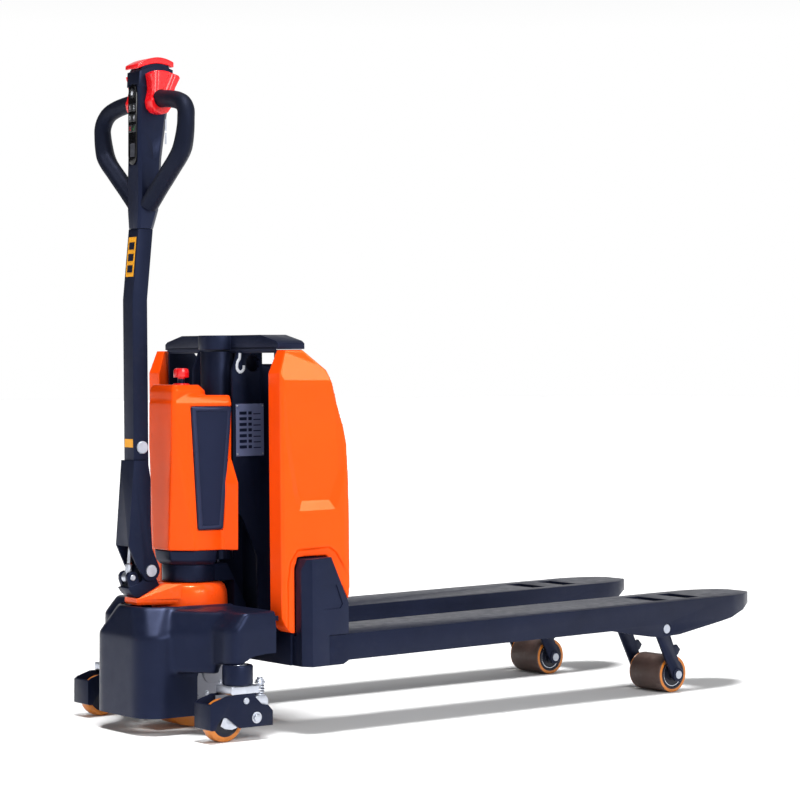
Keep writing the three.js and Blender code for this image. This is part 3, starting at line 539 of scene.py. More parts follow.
def hood_inserts():
    for label, side in SIDES:
        rim = insert_block("insert_rim_" + label, side, 0.0, 4.6, 3.0)
        bevelled(rim, 4.0, 4, 50)
        dish = insert_block("dish", side, -8.0, -0.2, 8.0)
        boolean(rim, dish)
        bevelled(rim, 0.6, 2, 40)
        settle(rim, "drive_base", INSERT_RIM, node="hood_insert_" + label)
        field = insert_block("insert_field_" + label, side, -8.3, 2.0, 0.9)
        settle(field, "drive_base", INSERT, node="hood_insert_" + label)


def hood_collar():
    top = mirror_half([(-250, 0), (-250, 27), (-215, 62), (-168, 70)])
    foot = mirror_half([(-240, 0), (-240, 23), (-211, 52), (-168, 60)])
    middle = mirror_half([(-247, 0), (-247, 26), (-213, 60), (-168, 67)])
    body = levels("collar_finish", [(316.5, foot), (325, middle), (344.6, top)])
    bevelled(body, 2.5, 3, 20)
    settle(body, "drive_base", BLACK_PLASTIC, node="hood_collar")


# ------------------------------------------------------------------ tower
PANEL_REAR = [(-1, 90), (-1, 210), (-2, 290), (-6, 364), (-14, 401), (-24, 438), (-33, 479), (-41, 505),
              (-80, 543), (-112, 543)]
PANEL_EDGE = [(-128, 500), (-128, 34), (-122, 18), (-110, 6), (-103, 5), (-103, 128), (-97, 150), (-44, 152),
              (-4.2, 66)] + PANEL_REAR


def panel_out(x):
    """How far out the panel's outer face is at x."""
    return 235 + (x + 122) * 41.5 / 108


def side_panels():
    for label, side in SIDES:
        body = prism("panel_finish_" + label, PANEL_EDGE, "Y", -WIDE, WIDE)
        plan = [(-128, 191), (-128, 229), (-122, 235), (-14, 276.3), (0, 276.3), (0, 240)]
        boolean(body, prism("plan", on_side(side, plan), "Z", -50, 600), "INTERSECT")
        # upper facet, leaning in towards the top
        facet = [(-140, panel_out(-140), 486), (-97, panel_out(-97), 486), (-38, panel_out(-38), 486),
                 (20, panel_out(20), 482), (-140, panel_out(-140) - 16, 550), (20, panel_out(20) - 8, 550)]
        outer = [(x, y + 60, z) for x, y, z in facet]
        less(body, hull("facet", [(x, side * y, z) for x, y, z in facet + outer]))
        # shallow field that ends in a bevelled U
        field = [(-110, 479, 0.4), (-44, 479, 0.4), (-112, 400, 5.5), (-25, 404, 5.5), (-94, 274, 7.5),
                 (-19, 314, 7.0), (-88, 257, 7.5), (-37, 258, 7.5)]
        lip = [(-122, 483), (-37, 483), (-125, 404), (-12, 404), (-106, 262), (-6, 314), (-97, 235),
               (-28, 238)]
        floor = [(x, side * (panel_out(x) - depth), z) for x, z, depth in field]
        mouth = [(x, side * (panel_out(x) + 0.4), z) for x, z in lip]
        above = [(x, side * (panel_out(x) + 20), z) for x, z in lip]
        less(body, hull("field", floor + mouth + above))
        # step round the foot cover
        step = [(-116, -60), (-116, 104), (-111, 140), (-98, 162), (-40, 166), (-28, 156), (10, 84),
                (10, -60)]
        inner = [(x, side * (panel_out(x) - 4.5), z) for x, z in step]
        brim = [(x * 1.03, side * (panel_out(x) + 3), z * 1.03) for x, z in step]
        less(body, hull("step", inner + brim))
        moulded(body, 1.6, 4, 0.3)
        settle(body, "fork_frame", ORANGE, FORKS, "side_panel_" + label, sharp=42)


def foot_covers():
    for label, side in SIDES:
        outline = [(-102.5, -57), (-50.5, -57), (-50.5, 0.5), (-4.6, 0.5), (-4.6, 60), (-45, 149),
                   (-96, 147), (-102.5, 126)]
        body = prism("foot_finish_" + label, outline, "Y", -WIDE, WIDE)
        plan = [(-102.5, 229), (-102.5, 258), (-90, 276.4), (-4, 276.4), (-4, 240.1), (-50.3, 240.1),
                (-50.3, 229)]
        boolean(body, prism("plan", on_side(side, plan), "Z", -80, 200), "INTERSECT")
        less(body, block("step", -110, -3, side * 228, side * 239.9, -1.5, 200))
        bevelled(body, 4.0, 4, 30)
        recess = [(-68, 58), (-62, 50), (-24, 50), (-18, 58), (-33, 96), (-68, 96)]
        low, high = sorted((side * 274.6, side * 279))
        less(body, prism("recess", recess, "Y", low, high))
        settle(body, "fork_frame", BLACK_PLASTIC, FORKS, "foot_cover_" + label)


def top_cap():
    half = [(0, 544.8), (198, 544.8), (198, 556), (190, 561), (137, 573), (0, 573)]
    body = prism("cap_finish", both_halves(half), "X", -109, -46)
    bump = lathe("bump", [(0, 544.8), (38, 544.8), (38, 573), (0, 573)], LIFT_AXIS, "Z", 64)
    boolean(body, bump, "UNION")
    bevelled(body, 4.5, 4, 30)
    settle(body, "fork_frame", BLACK_PLASTIC, FORKS, "top_cap")
    lip = block("top_cap_lip", -109, -107.5, -190, 190, 541, 549)
    settle(lip, "fork_frame", BLACK_PLASTIC, FORKS, flat=True)


def tower_details():
    # blank rating plate with etched fields on the right gusset
    plate = block("rating_plate", -121, -55, -72.0, -71.2, 337, 439)
    bevelled(plate, 0.3, 1)
    settle(plate, "fork_frame", PLATE, FORKS)
    marks = []
    for row in range(7):
        z = 352 + row * 11
        for low, high, tall in ((-113, -96, 6), (-92, -84, 6), (-80, -63, 2)):
            marks.append(block("mark", low, high, -72.3, -72.0, z, z + tall))
    settle(joined("rating_fields", marks), "fork_frame", INSERT, FORKS, flat=True)
    for i, (x, z) in enumerate(((-118, 341), (-58, 341), (-118, 435), (-58, 435))):
        disc(f"rating_rivet_{i}", (x, -72, z), "Y", 1.8, 1.0, "fork_frame", ZINC, FORKS,
             -1, 0.4)
    # lifting-point pictogram: a plain hook
    for side in (-1, 1):
        bends = [(-110, 538), (-111, 528), (-116, 520), (-117, 508), (-110, 501), (-102, 506), (-101, 514)]
        route = [(x, side * 71.6, z) for x, z in bends]
        hook = sweep("lift_sign_" + ("r" if side < 0 else "l"), route,
                     lambda a, t: (2.9 * math.cos(a), 2.9 * math.sin(a)), 12)
        for vert in hook.data.vertices:
            vert.co.y = side * 71.5 + (vert.co.y - side * 71.6) * 0.12
        settle(hook, "fork_frame", WHITE_INK, FORKS)
    for i, (y, z) in enumerate(((-150, 470), (150, 470), (-150, 300), (150, 300), (-150, 130), (150, 130))):
        bolt(f"plate_bolt_{i}", (-14, y, z), "X", 6, "fork_frame", BLACK_STEEL, 5, FORKS, -1)


def rollers():
    """Detail on the load rollers, their arms and pins, in the forks' own axes."""
    half = 46.5
    # (radius, distance past the roller's end face) lines
    ring = [(32.6, -1.6), (38.2, -0.9), (39.0, 0.2), (38, 0.6), (33, 0.6)]
    core = [(10.4, -4), (32.4, -4), (32.6, 0.3), (29, 0.5), (27, -1.8), (14.5, -1.8), (13.5, 0.4),
            (10.4, 0.4)]
    clip = [(25.0, -1.6), (26.4, -1.6), (26.4, -0.6), (25.0, -0.6)]
    turned = (("ring", ring, AMBER, 72), ("core", core, DARK_HUB, 64), ("clip", clip, ZINC, 64))
    for label, side in SIDES:
        y = side * ROLLER_Y
        x, z = ROLLER_AXLE
        axle = (x, y, z)
        tread = lathe("roller_tread_" + label,
                      [(31, -half + 0.6), (36.5, -half), (39.6, -half + 2.4), (40, -half + 6), (40, half - 6),
                       (39.6, half - 2.4), (36.5, half), (31, half - 0.6)], axle, "Y", 72)
        settle(tread, "load_roller_" + label, TREAD, FORKS, "load_roller_" + label)
        for end in (-1, 1):
            tag = label + end_tag(end)
            for part, line, surface, count in turned:
                piece = lathe(f"roller_{part}_{tag}", [(r, end * (half + out)) for r, out in line], axle,
                              "Y", count)
                settle(piece, "load_roller_" + label, surface, FORKS)
            arm = "roller_arm_" + label
            disc("roller_boss_" + tag, (x, y + end * 62.1, z), "Y", 14.5, 3.0, arm, BLACK_STEEL, FORKS,
                 end, 1.2)
            disc("roller_axle_" + tag, (x, y + end * 65.0, z), "Y", 8.6, 1.2, arm, PIN, FORKS, end, 0.5)
            disc("arm_pin_" + tag, (ARM_PIN[0], y + end * 78.6, ARM_PIN[1]), "Y", 9.5, 0.9, arm, PIN, FORKS,
                 end, 0.4)


# ------------------------------------------------------------------ steering head and drive wheel
def steering():
    shell_line = [(0, 276), (52, 276), (61, 268), (61, 229), (73.6, 229), (74.2, 242), (73.4, 254),
                  (71.8, 265), (68, 275), (62, 280), (54, 281.8), (29.5, 282), (29.5, 312), (0, 312)]
    dome = lathe("dome_finish", shell_line, STEER_AXIS, "Z", 96)
    nose = levels("nose", [(243, mirror_half([(-317, 0), (-317, 19), (-232, 48)])),
                           (248, mirror_half([(-321, 0), (-321, 22), (-232, 50)])),
                           (256.2, mirror_half([(-321, 0), (-321, 21), (-232, 48)]))])
    boolean(dome, nose, "UNION")
    for side in (1, -1):
        low = [(-320, 19.6), (-320, 22), (-240, 52), (-232, 19.6)]
        high = [(-264, 19.6), (-264, 28), (-236, 50), (-232, 19.6)]
        cheek = levels("cheek", [(254, on_side(side, low)), (281, on_side(side, high))])
        boolean(dome, cheek, "UNION")
    less(dome, lathe("room", [(0, 200), (61, 200), (61, 268), (52, 274), (0, 274)], STEER_AXIS, "Z", 96))
    bevelled(dome, 1.0, 2, 40)
    settle(dome, "steer_head", DOME_ORANGE, node="steer_dome", sharp=30)
    hub_line = [(0, -32), (20, -32), (26, -28), (56, -26), (70, -32), (84.6, -35), (84.6, 35), (72, 35),
                (66, 27), (50, 25), (50, 21), (24, 21), (20, 26), (0, 26)]
    hub = lathe("drive_hub_finish", hub_line, DRIVE_AXLE, "Y", 80)
    settle(hub, "drive_wheel", CAST, node="drive_wheel_hub")
    tyre_line = [(84.8, -34.6), (98, -35), (103, -33), (105, -29), (105, 29), (103, 33), (98, 35),
                 (84.8, 34.6)]
    tyre = lathe("drive_tyre_finish", tyre_line, DRIVE_AXLE, "Y", 96)
    settle(tyre, "drive_wheel", AMBER, node="drive_wheel_tyre")
    cap = lathe("gearbox_cap", [(0, -59.5), (21.5, -59.5), (21.5, -62.5), (19.8, -63.5), (0, -63.5)],
                (-174, 0, 108), "Y", 56)
    settle(cap, "steer_head", CAST)
    x, _, z = DRIVE_AXLE
    for i in range(6):
        a = math.radians(30 + 60 * i)
        bolt(f"gearbox_bolt_{i}", (x + 36 * math.cos(a), -60, z + 36 * math.sin(a)), "Y", 3.6,
             "steer_head", ZINC, 3.0, out=-1)
    for i in range(5):
        a = math.radians(-64 + 32 * i)
        bolt(f"ring_bolt_{i}", (x - 43 * math.cos(a), 43 * math.sin(a), 316), "Z", 3.4, "drive_base",
             BLACK_STEEL, 0.6)
    for i, (x, y) in enumerate(((-138, -100), (-128, -150), (-138, 100), (-128, 150))):
        bolt(f"shoulder_bolt_{i}", (x, y, 228), "Z", 5.5, "drive_base", ZINC, 4.0)


# ------------------------------------------------------------------ tiller
def leant(item):
    """item sheared to lie on the front face of the drawbar's upper length."""
    for vert in item.data.vertices:
        vert.co.x += (vert.co.z - 828) * 13 / 136 - 2.2
    return item


def tiller():
    refined("tiller_bracket", 1.2, 3)
    refined("tiller_tube", 3.5, 4, BLACK_STEEL, 40)
    refined("tiller_yoke", 1.2, 2)
    for side in (-1, 1):
        tag = "r" if side < 0 else "l"
        disc("pivot_head_" + tag, (-290, side * 23.6, 308), "Y", 11.2, 2.8, "tiller", PIN,
             out=side, edge=0.9)
        disc("cross_bolt_" + tag, (-307, side * 18.2, 545), "Y", 12.0, 4.5, "tiller", PIN,
             out=side, edge=1.6)
        disc("eye_pin_" + tag, (SPRING_EYE[0], side * 17.1, SPRING_EYE[2]), "Y", 5.6, 2.0, "steer_head",
             ZINC, out=side)
    ring = lathe("spring_eye", [(4.4, -7.8), (9.6, -7.8), (11, -6), (11, 6), (9.6, 7.8), (4.4, 7.8)],
                 SPRING_EYE, "Y", 48)
    stem = lathe("stem", [(0, 9), (6.5, 9), (6.5, 24), (4.0, 27), (4.0, 110), (0, 110)], (0, 0, 0), "Z", 32)
    along_spring = Matrix.Translation(SPRING_EYE) @ Matrix.Rotation(SPRING_LEAN, 4, "Y")
    stem.data.transform(along_spring)
    settle(joined("spring_rod_finish", [ring, stem]), "gas_spring_lower", ZINC,
           node="gas_spring_rod")
    tube_line = [(0, 188), (4.3, 188), (4.3, 86), (7.0, 86), (8.0, 88), (8.0, 190), (6.5, 192), (0, 192)]
    tube = lathe("spring_tube_finish", tube_line, (0, 0, 0), "Z", 40)
    tube.data.transform(along_spring)
    settle(tube, "gas_spring_upper", BLACK_STEEL, node="gas_spring_tube")
    # plain yellow bands on the drawbar's front face and near its foot
    label = leant(block("label_upper", -326.3, -326.0, -13.5, 13.5, 872, 948))
    settle(label, "tiller", YELLOW, flat=True)
    band = block("label_lower", -325.6, -324.4, -14.5, 14.5, 545, 561)
    settle(band, "tiller", YELLOW, flat=True)
    bars = [leant(block("bar", -327.0, -326.4, -9, 9, 880 + i * 22, 894 + i * 22)) for i in range(3)]
    settle(joined("label_bars", bars), "tiller", BLACK_STEEL, flat=True)


def crown_rise(t):
    """The shared arch of the head's crown and its button, from front (0) to rear (1)."""
    return math.sin(math.pi * (0.12 + 0.62 * t))


def head():
    """Control head with a gently waisted, faceted body under a curved crown."""
    f = HEAD_FRONT
    half_rows = [(964.5, -279, 20.0), (1000, -270, 24.0), (1040, -266, 24.5), (1100, -262, 22.6),
                 (1160, -253, 21.6), (1200, -247, 21.8), (1244, -241, 22.0)]
    work = bmesh.new()
    rings = []
    for z, rear, w in half_rows:
        half = [(f, 0.001), (f, w - 5.5), (f + 5, w), (rear - 9, w), (rear, w - 7), (rear, 0.001)]
        rings.append([work.verts.new((x, y, z)) for x, y in mirror_half(half)])
    skin(work, rings)
    bmesh.ops.triangulate(work, faces=[face for face in work.faces if len(face.verts) == 4])
    body = from_bmesh("head_finish", work)
    crown = []
    for i in range(13):
        t = i / 12
        crown.append((f + 1 + t * 75, 1256.5 + 20.5 * crown_rise(t)))
    boolean(body, prism("crown", crown + [(-240.5, 1236), (f, 1236)], "Y", -22, 22), "UNION")
    # triangular dimples on both flanks
    for side in (-1, 1):
        upper = [(-306, 1150, 0.2), (-262, 1150, 0.2), (-284, 1098, 0.2), (-284, 1132, 4.5)]
        lower = [(-308, 1085, 0.2), (-268, 1088, 0.2), (-292, 1020, 0.2), (-290, 1066, 3.5)]
        for dimple, half, outside in ((upper, 22.4, 34), (lower, 24.4, 36)):
            tool = hull("dimple", [(x, side * (half - d), z) for x, z, d in dimple]
                        + [(x, side * outside, z) for x, z, d in dimple[:3]])
            less(body, tool)
    bevelled(body, 1.6, 3, 28)
    less(body, block("keyway", f - 2, f + 2.4, -15.4, 15.4, 1085, 1241))
    less(body, block("plunger_pocket", -311.5, -245, -19.5, 19.5, 1241, 1290))
    settle(body, "tiller", BLACK_PLASTIC, node="head_housing")
    for side in (-1, 1):
        tag = "r" if side < 0 else "l"
        strips = [block("strip", -258, -254.5, side * 22.0, side * 22.9, z, z + 22) for z in (1128, 1154)]
        settle(joined("side_strip_" + tag, strips), "tiller", ZINC, flat=True)


def keypad():
    outline = [(0, 1240), (8, 1237.5), (13, 1231), (15, 1222), (15, 1104), (12.5, 1094), (7, 1088),
               (0, 1086)]
    panel = prism("keypad_finish", both_halves(outline), "X", -318, -314.9)
    bevelled(panel, 0.8, 2, 40)
    keys = [(c * 7, 1196 - row * 20) for row in range(3) for c in (1, -1)]
    for y, z in keys:
        less(panel, block("room", -320, -310, y - 5.8, y + 5.8, z - 7.8, z + 7.8))
    less(panel, lathe("room", [(0, -320), (8.4, -320), (8.4, -310), (0, -310)], HOME_BUTTON, "X", 40))
    less(panel, block("lens_room", -320, -316.9, -9, 9, 1101, 1128))
    settle(panel, "tiller", GLOSS_BLACK, node="keypad_panel")
    lens = block("display_finish", -317.2, -316.6, -8.6, 8.6, 1101.4, 1127.6)
    settle(lens, "tiller", LENS, flat=True)
    frame_line = lathe("home_ring", [(8.6, -318.5), (9.6, -318.5), (9.6, -317.9), (8.6, -317.9)],
                       HOME_BUTTON, "X", 48)
    settle(frame_line, "tiller", KEY_GREY)
    for i, (y, z) in enumerate(keys, 1):
        cap = block(f"key_finish_{i}", -319, -315.4, y - 5.4, y + 5.4, z - 7.4, z + 7.4)
        bevelled(cap, 1.3, 3, 40)
        settle(cap, f"key_{i}", KEY_GREY, node=f"key_{i}")
    cap_line = [(0, -315.4), (7.9, -315.4), (7.9, -318.4), (7.2, -319), (5.6, -318.7), (0, -318.4)]
    cap = lathe("home_finish", cap_line, HOME_BUTTON, "X", 48)
    settle(cap, "home_button", KEY_GREY, node="home_button")
    house = prism("home_mark", [(0, 1227.5), (4.2, 1223.4), (2.9, 1223.4), (2.9, 1219.6), (-2.9, 1219.6),
                  (-2.9, 1223.4), (-4.2, 1223.4)], "X", -318.95, -318.3)
    settle(house, "home_button", WHITE_INK, flat=True)
    for i, (y, z) in enumerate(keys[:4], 1):
        curve = bpy.data.curves.new(f"digit_{i}", "FONT")
        curve.body = str(i)
        curve.size = 10.5
        curve.align_x = "CENTER"
        curve.align_y = "CENTER"
        curve.extrude = 0.08
        text = made_object(f"digit_curve_{i}", curve)
        bpy.context.view_layer.update()
        mesh = bpy.data.meshes.new_from_object(text.evaluated_get(bpy.context.evaluated_depsgraph_get()))
        bpy.data.objects.remove(text)
        digit = made_object(f"digit_{i}", mesh)
        facing = Matrix(((0, 0, -1, 0), (-1, 0, 0, 0), (0, 1, 0, 0), (0, 0, 0, 1)))
        digit.data.transform(Matrix.Translation((-319.05, y, z)) @ facing)
        settle(digit, f"key_{i}", WHITE_INK, flat=True)
    for i, surface, lines in ((5, KEY_RED, (((-3, -4), (3, 4)), ((-3, 4), (3, -4)))),
                              (6, KEY_GREEN, (((3.4, 0), (1, -4)), ((1, -4), (-3.4, 4))))):
        y, z = keys[i - 1]
        strokes = []
        for (ya, za), (yb, zb) in lines:
            run = Vector((yb - ya, zb - za)).normalized()
            off = Vector((-run.y, run.x)) * 0.7
            outline = [(y + ya + off.x, z + za + off.y), (y + yb + off.x, z + zb + off.y),
                       (y + yb - off.x, z + zb - off.y), (y + ya - off.x, z + za - off.y)]
            strokes.append(prism("stroke", outline, "X", -319.15, -318.9))
        settle(joined(f"key_mark_{i}", strokes), f"key_{i}", surface, flat=True)


def loops():
    """Hand loops: round rubber grip above, flatter moulded arm below."""
    path = [(21, 1212), (40, 1212), (62, 1210.5), (86, 1207.5), (110, 1203), (132, 1195), (145, 1182),
            (149, 1166), (148, 1150), (144, 1131), (136, 1110), (121, 1093), (98, 1074), (74, 1054),
            (52, 1036), (36, 1022), (22, 1010)]
    for label, side in SIDES:
        route = [(GRIP_X - 12 * min(1, max(0, (i - 2) / 5)), side * y, z) for i, (y, z) in enumerate(path)]

        def section(angle, share):
            flat = min(1, max(0, (share - 0.46) / 0.16))
            c, t = math.cos(angle), math.sin(angle)
            octagon = 1 / max(abs(c), abs(t), (abs(c) + abs(t)) * 0.78)
            size = (1 - flat) + octagon * flat
            return 16.4 * c * size * (1 + 0.22 * flat), 16.4 * t * size * (1 + 0.04 * flat)
        body = sweep("loop_finish_" + label, route, section, 32)
        less(body, block("trim", -400, -200, -24.5, 24.5, 900, 1110),
             block("trim", -400, -200, -22.4, 22.4, 1110, 1300))
        settle(body, "tiller", GRIP, node="handle_loop_" + label, sharp=45)


def throttles():
    x, z = GRIP_X, GRIP_Z
    around = [(-23, 47), (-20, 34), (-18.5, 18), (-21, 6), (-24, -6), (-21, -18), (-13, -26.5), (1, -30),
              (14, -26.5), (22, -16), (26, 3), (31, 22), (42, 42), (39, 46.5), (24, 51.5), (4, 54), (-12, 53)]
    outline = [(x + dx, z + dz) for dx, dz in around]
    for label, side in SIDES:
        y0, y1 = sorted((side * 22.7, side * 46.8))
        body = prism("throttle_finish_" + label, outline, "Y", y0, y1)
        # thumb hollows on the outer face
        for dx, dz, lean in ((17, 34, 0.42), (-15, 30, 0.05)):
            dip = lathe("dip", [(0, -30), (9, -30), (9, 30), (0, 30)], (0, 0, 0), "Z", 40)
            spot = Matrix.Translation((x + dx, side * 52.5, z + dz))
            dip.data.transform(spot @ Matrix.Rotation(lean, 4, "Y"))
            less(body, dip)
        moulded(body, 1.1, 6, 0.25)
        less(body, lathe("bore", [(0, -60), (17.4, -60), (17.4, 60), (0, 60)], (x, 0, z), "Y", 56))
        settle(body, "throttle", RED, node="throttle_" + label, sharp=50)


def belly():
    """Curved top button on a dark plunger that slides in the head's crown."""
    lid, brim = [], []
    for i in range(17):
        t = i / 16
        x = -319.4 + 81 * t
        rise = crown_rise(t)
        lid.append((x, 1266.9 + 27 * rise))
        brim.append((x, 1261 + 21 * rise))
    plunger = prism("belly_plunger", [(-311, 1246), (-311, 1268)] + [(x, z + 1) for x, z in brim[3:15]]
                    + [(-245.5, 1272), (-245.5, 1246)], "Y", -19, 19)
    settle(plunger, "belly_button", BLACK_PLASTIC)
    body = prism("belly_finish", lid + brim[::-1], "Y", -23.6, 23.6)
    bevelled(body, 2.0, 4, 40)
    settle(body, "belly_button", RED, node="belly_button", sharp=40)


def emergency_stop():
    cap_line = [(0, 676), (7, 676), (7, 679), (14.2, 679), (15, 681), (15, 691), (13.6, 695.4), (10, 697),
                (0, 697)]
    cap = lathe("stop_finish", cap_line, STOP_AXIS, "Z", 56)
    settle(cap, "emergency_stop", RED, node="emergency_stop_button")
    neck = lathe("stop_neck", [(0, 668), (7, 668), (7, 677), (0, 677)], STOP_AXIS, "Z", 40)
    settle(neck, "emergency_stop", BLACK_PLASTIC)
    collar = lathe("stop_collar", [(8.4, 656), (17.2, 656), (17.2, 665), (14.5, 667.4), (8.4, 667.4)],
                   STOP_AXIS, "Z", 56)
    settle(collar, "drive_base", RED)


# ------------------------------------------------------------------ casters
def coil(name, centre):
    """The round-wire spring beside a caster, four turns high."""
    x, y = centre
    steps, turns, r, wire = 64, 4.0, 7.2, 1.7
    work = bmesh.new()
    rings = []
    for i in range(steps + 1):
        a = 2 * math.pi * turns * i / steps
        spot = Vector((x + r * math.cos(a), y + r * math.sin(a), 84.5 + 21 * i / steps))
        radial = Vector((math.cos(a), math.sin(a), 0))
        upward = Vector((0, 0, 1))
        ring = []
        for k in range(8):
            b = 2 * math.pi * k / 8
            ring.append(work.verts.new(spot + radial * wire * math.cos(b) + upward * wire * math.sin(b)))
        rings.append(ring)
    skin(work, rings)
    return from_bmesh(name, work)


def casters():
    for label, side in SIDES:
        y = side * CASTER_Y
        post, (hub_x, hub_z), spring_x = CASTER_POST_X, CASTER_AXLE, CASTER_SPRING_X
        swivel = "caster_swivel_" + label
        rocker = "caster_rocker_" + label
        wheel = "caster_wheel_" + label
        cap_line = [(0, 104.2), (27, 104.2), (29, 107), (29, 138), (27.4, 141.2), (24, 142), (21.5, 140.4),
                    (19, 140.4), (0, 140.4)]
        cap = lathe("caster_cap_" + label, cap_line, (post, y, 0), "Z", 72)
        settle(cap, "drive_base", BLACK_PLASTIC, node="caster_housing_" + label)
        stem = lathe("caster_stem_" + label, [(0, 140), (10, 140), (10, 162.5), (0, 162.5)], (post, y, 0),
                     "Z", 32)
        settle(stem, "drive_base", BLACK_STEEL)
        bolt("caster_nut_" + label, (post, y, 140.4), "Z", 13, "drive_base", ZINC, 8)
        refined("caster_bracket_" + label, 0.9, 2, BLACK_STEEL)
        top = block("caster_top_" + label, -254, -190, y - 27.4, y + 27.4, 88.4, 104)
        bevelled(top, 2.4, 3)
        settle(top, swivel, ZINC)
        for face in (-1, 1):
            tag = label + end_tag(face)
            disc("caster_pin_" + tag, (-221, y + face * 27, 76), "Y", 6, 2.4, swivel, PIN,
                 out=face)
            bolt("caster_hex_" + tag, (-197, y + face * 27, 43), "Y", 8, swivel, ZINC, 4.5, out=face)
            disc("caster_axle_" + tag, (hub_x, y + face * 22.0, 41), "Y", 7, 1.5, rocker, PIN, out=face)
        refined("caster_arm_" + label, 0.8, 2, ZINC)
        low, high = sorted((y + side * 22.1, y + side * 23.4))
        cradle = prism("caster_cradle_" + label,
                       [(-276, 33), (-266, 27), (-250, 24), (-240, 27), (-230, 33), (-242, 46), (-252, 53),
                        (-262, 53), (-270, 46)], "Y", low, high)
        bevelled(cradle, 0.5, 2)
        settle(cradle, rocker, ZINC)
        lug = prism("caster_lug_" + label,
                    [(-198, 62), (-198, 74), (-192, 83), (-170, 83), (-165, 74), (-165, 62)], "Y",
                    y - 20, y + 20)
        bevelled(lug, 2.0, 3)
        settle(lug, rocker, ZINC)
        settle(coil("caster_spring_" + label, (spring_x, y + side * 14)), rocker, ZINC,
               sharp=60)
        for i, (z, rr) in enumerate(((83.2, 10), (93, 9.6), (106, 10.5), (108.6, 8.6))):
            disc(f"caster_washer_{label}_{i}", (spring_x, y + side * 14, z), "Z", rr, 1.6, rocker, ZINC,
                 edge=0.4)
        bolt("caster_stud_" + label, (spring_x, y + side * 14, 110.2), "Z", 6.4, rocker, ZINC, 6)
        half = 14
        hub = (hub_x, y, hub_z)
        tread = lathe("caster_tread_" + label,
                      [(30, -half + 1), (34, -half), (38.4, -half + 2), (40, -half + 5), (40, half - 5),
                       (38.4, half - 2), (34, half), (30, half - 1)], hub, "Y", 72)
        settle(tread, wheel, AMBER, node="caster_wheel_" + label)
        core = lathe("caster_core_" + label,
                     [(6.4, -12), (12, -13.4), (16, -11), (26, -10.4), (30, -12.8), (30, 12.8), (26, 10.4),
                      (16, 11), (12, 13.4), (6.4, 12)], hub, "Y", 64)
        settle(core, wheel, DARK_HUB)


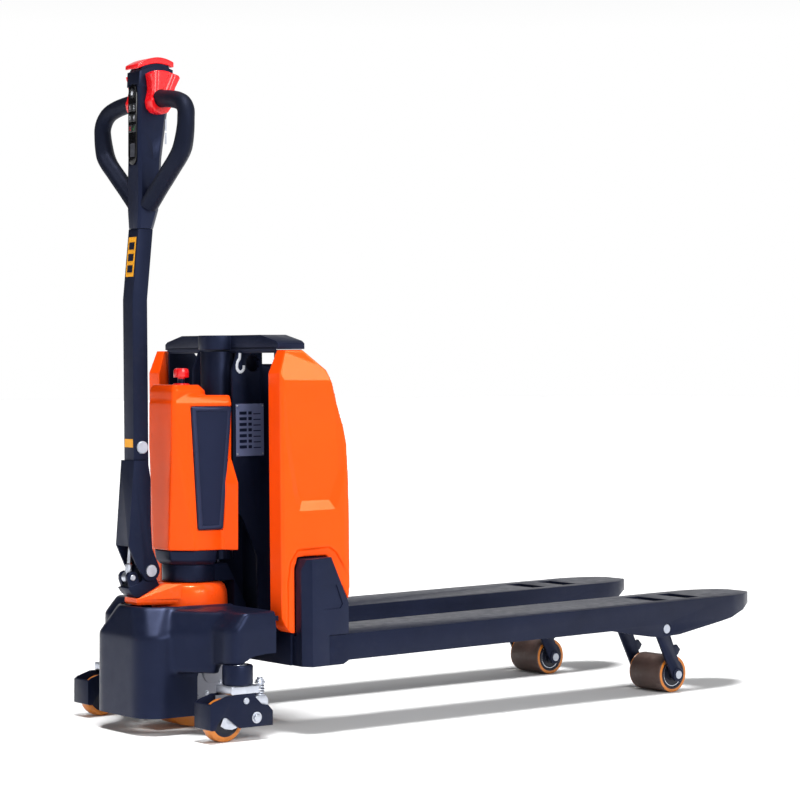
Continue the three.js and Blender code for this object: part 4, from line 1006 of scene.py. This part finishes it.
# ------------------------------------------------------------------ set
def studio():
    scene = bpy.context.scene
    scene.view_settings.view_transform = "Standard"
    floor_mesh = bpy.data.meshes.new("floor")
    half = 40
    corners = [(-half, -half, 0), (half, -half, 0), (half, half, 0), (-half, half, 0)]
    floor_mesh.from_pydata(corners, [], [(0, 1, 2, 3)])
    floor = made_object("floor", floor_mesh)
    paper = bpy.data.materials.new("pale_floor")
    paper.use_nodes = True
    tree = paper.node_tree
    shader = tree.nodes["Principled BSDF"]
    where = add_node(tree, "ShaderNodeTexCoord").outputs["Object"]
    patches = spread(tree, noise(tree, where, 1.5), 0, 1)
    tint = blend_colour(tree, patches, (0.90, 0.90, 0.90), (0.93, 0.93, 0.93))
    tree.links.new(tint, shader.inputs["Base Color"])
    put(shader, {"Roughness": 0.9, "Specular IOR Level": 0.1})
    floor.data.materials.append(paper)

    world = bpy.data.worlds.new("studio")
    scene.world = world
    world.use_nodes = True
    tree = world.node_tree
    back = tree.nodes["Background"]
    direction = add_node(tree, "ShaderNodeTexCoord").outputs["Generated"]
    dot = add_node(tree, "ShaderNodeVectorMath", operation="DOT_PRODUCT")
    dot.inputs[1].default_value = (0.7071, -0.7071, 0.0)
    tree.links.new(direction, dot.inputs[0])
    around = spread(tree, dot.outputs["Value"], 0.03, 1.0, -0.62, -0.36)
    height = add_node(tree, "ShaderNodeSeparateXYZ")
    tree.links.new(direction, height.inputs["Vector"])
    above = spread(tree, height.outputs["Z"], 1.0, 0.22, 0.14, 0.46)
    level = add_node(tree, "ShaderNodeMath", operation="MULTIPLY")
    tree.links.new(around, level.inputs[0])
    tree.links.new(above, level.inputs[1])
    tree.links.new(level.outputs["Value"], back.inputs["Strength"])
    back.inputs["Color"].default_value = (1.0, 1.0, 1.0, 1.0)

    sun = bpy.data.lights.new("top_sun", "SUN")
    sun.energy = 3.9
    sun.angle = math.radians(16)
    lamp = made_object("top_sun", sun)
    lamp.rotation_euler = Vector((0.10, 0.16, -1.0)).to_track_quat("-Z", "Y").to_euler()

    def area(name, spot, aim, power, size_x, size_y):
        data = bpy.data.lights.new(name, "AREA")
        data.shape = "RECTANGLE"
        data.size = size_x
        data.size_y = size_y
        data.energy = power
        lamp = made_object(name, data)
        lamp.location = spot
        lamp.rotation_euler = (Vector(aim) - Vector(spot)).to_track_quat("-Z", "Y").to_euler()

    area("side_light", (-0.6, -3.4, 2.25), (-0.4, 0, 0.5), 78, 2.0, 1.1)
    area("front_light", (-3.9, 1.0, 1.4), (-0.5, 0, 0.5), 18, 3.4, 2.6)

    yaw, pitch, roll = math.radians(51.65), math.radians(-0.75), math.radians(0.108)
    ahead = Vector((math.cos(pitch) * math.cos(yaw), math.cos(pitch) * math.sin(yaw), math.sin(pitch)))
    right = Vector((math.sin(yaw), -math.cos(yaw), 0))
    up = right.cross(ahead)
    across = right * math.cos(roll) + up * math.sin(roll)
    upward = up * math.cos(roll) - right * math.sin(roll)
    lens = bpy.data.cameras.new("camera")
    lens.lens = 107.97
    lens.sensor_width = 36
    camera = made_object("camera", lens)
    spot = Vector((-2.771 + LOAD_FACE_X, -3.929, 0.697))
    turn = Matrix((across, upward, -ahead)).transposed().to_4x4()
    camera.matrix_world = Matrix.Translation(spot) @ turn
    scene.camera = camera


studio()
drive_cover()
hood()
hood_inserts()
hood_collar()
side_panels()
foot_covers()
top_cap()
tower_details()
rollers()
steering()
tiller()
head()
keypad()
loops()
throttles()
belly()
emergency_stop()
casters()
refined("tower_frame", 1.0)
refined("drive_chassis", 1.2, 2)
for side_name, _ in SIDES:
    refined("fork_" + side_name, 2.2, 3)
    refined("roller_arm_" + side_name, 0.8)
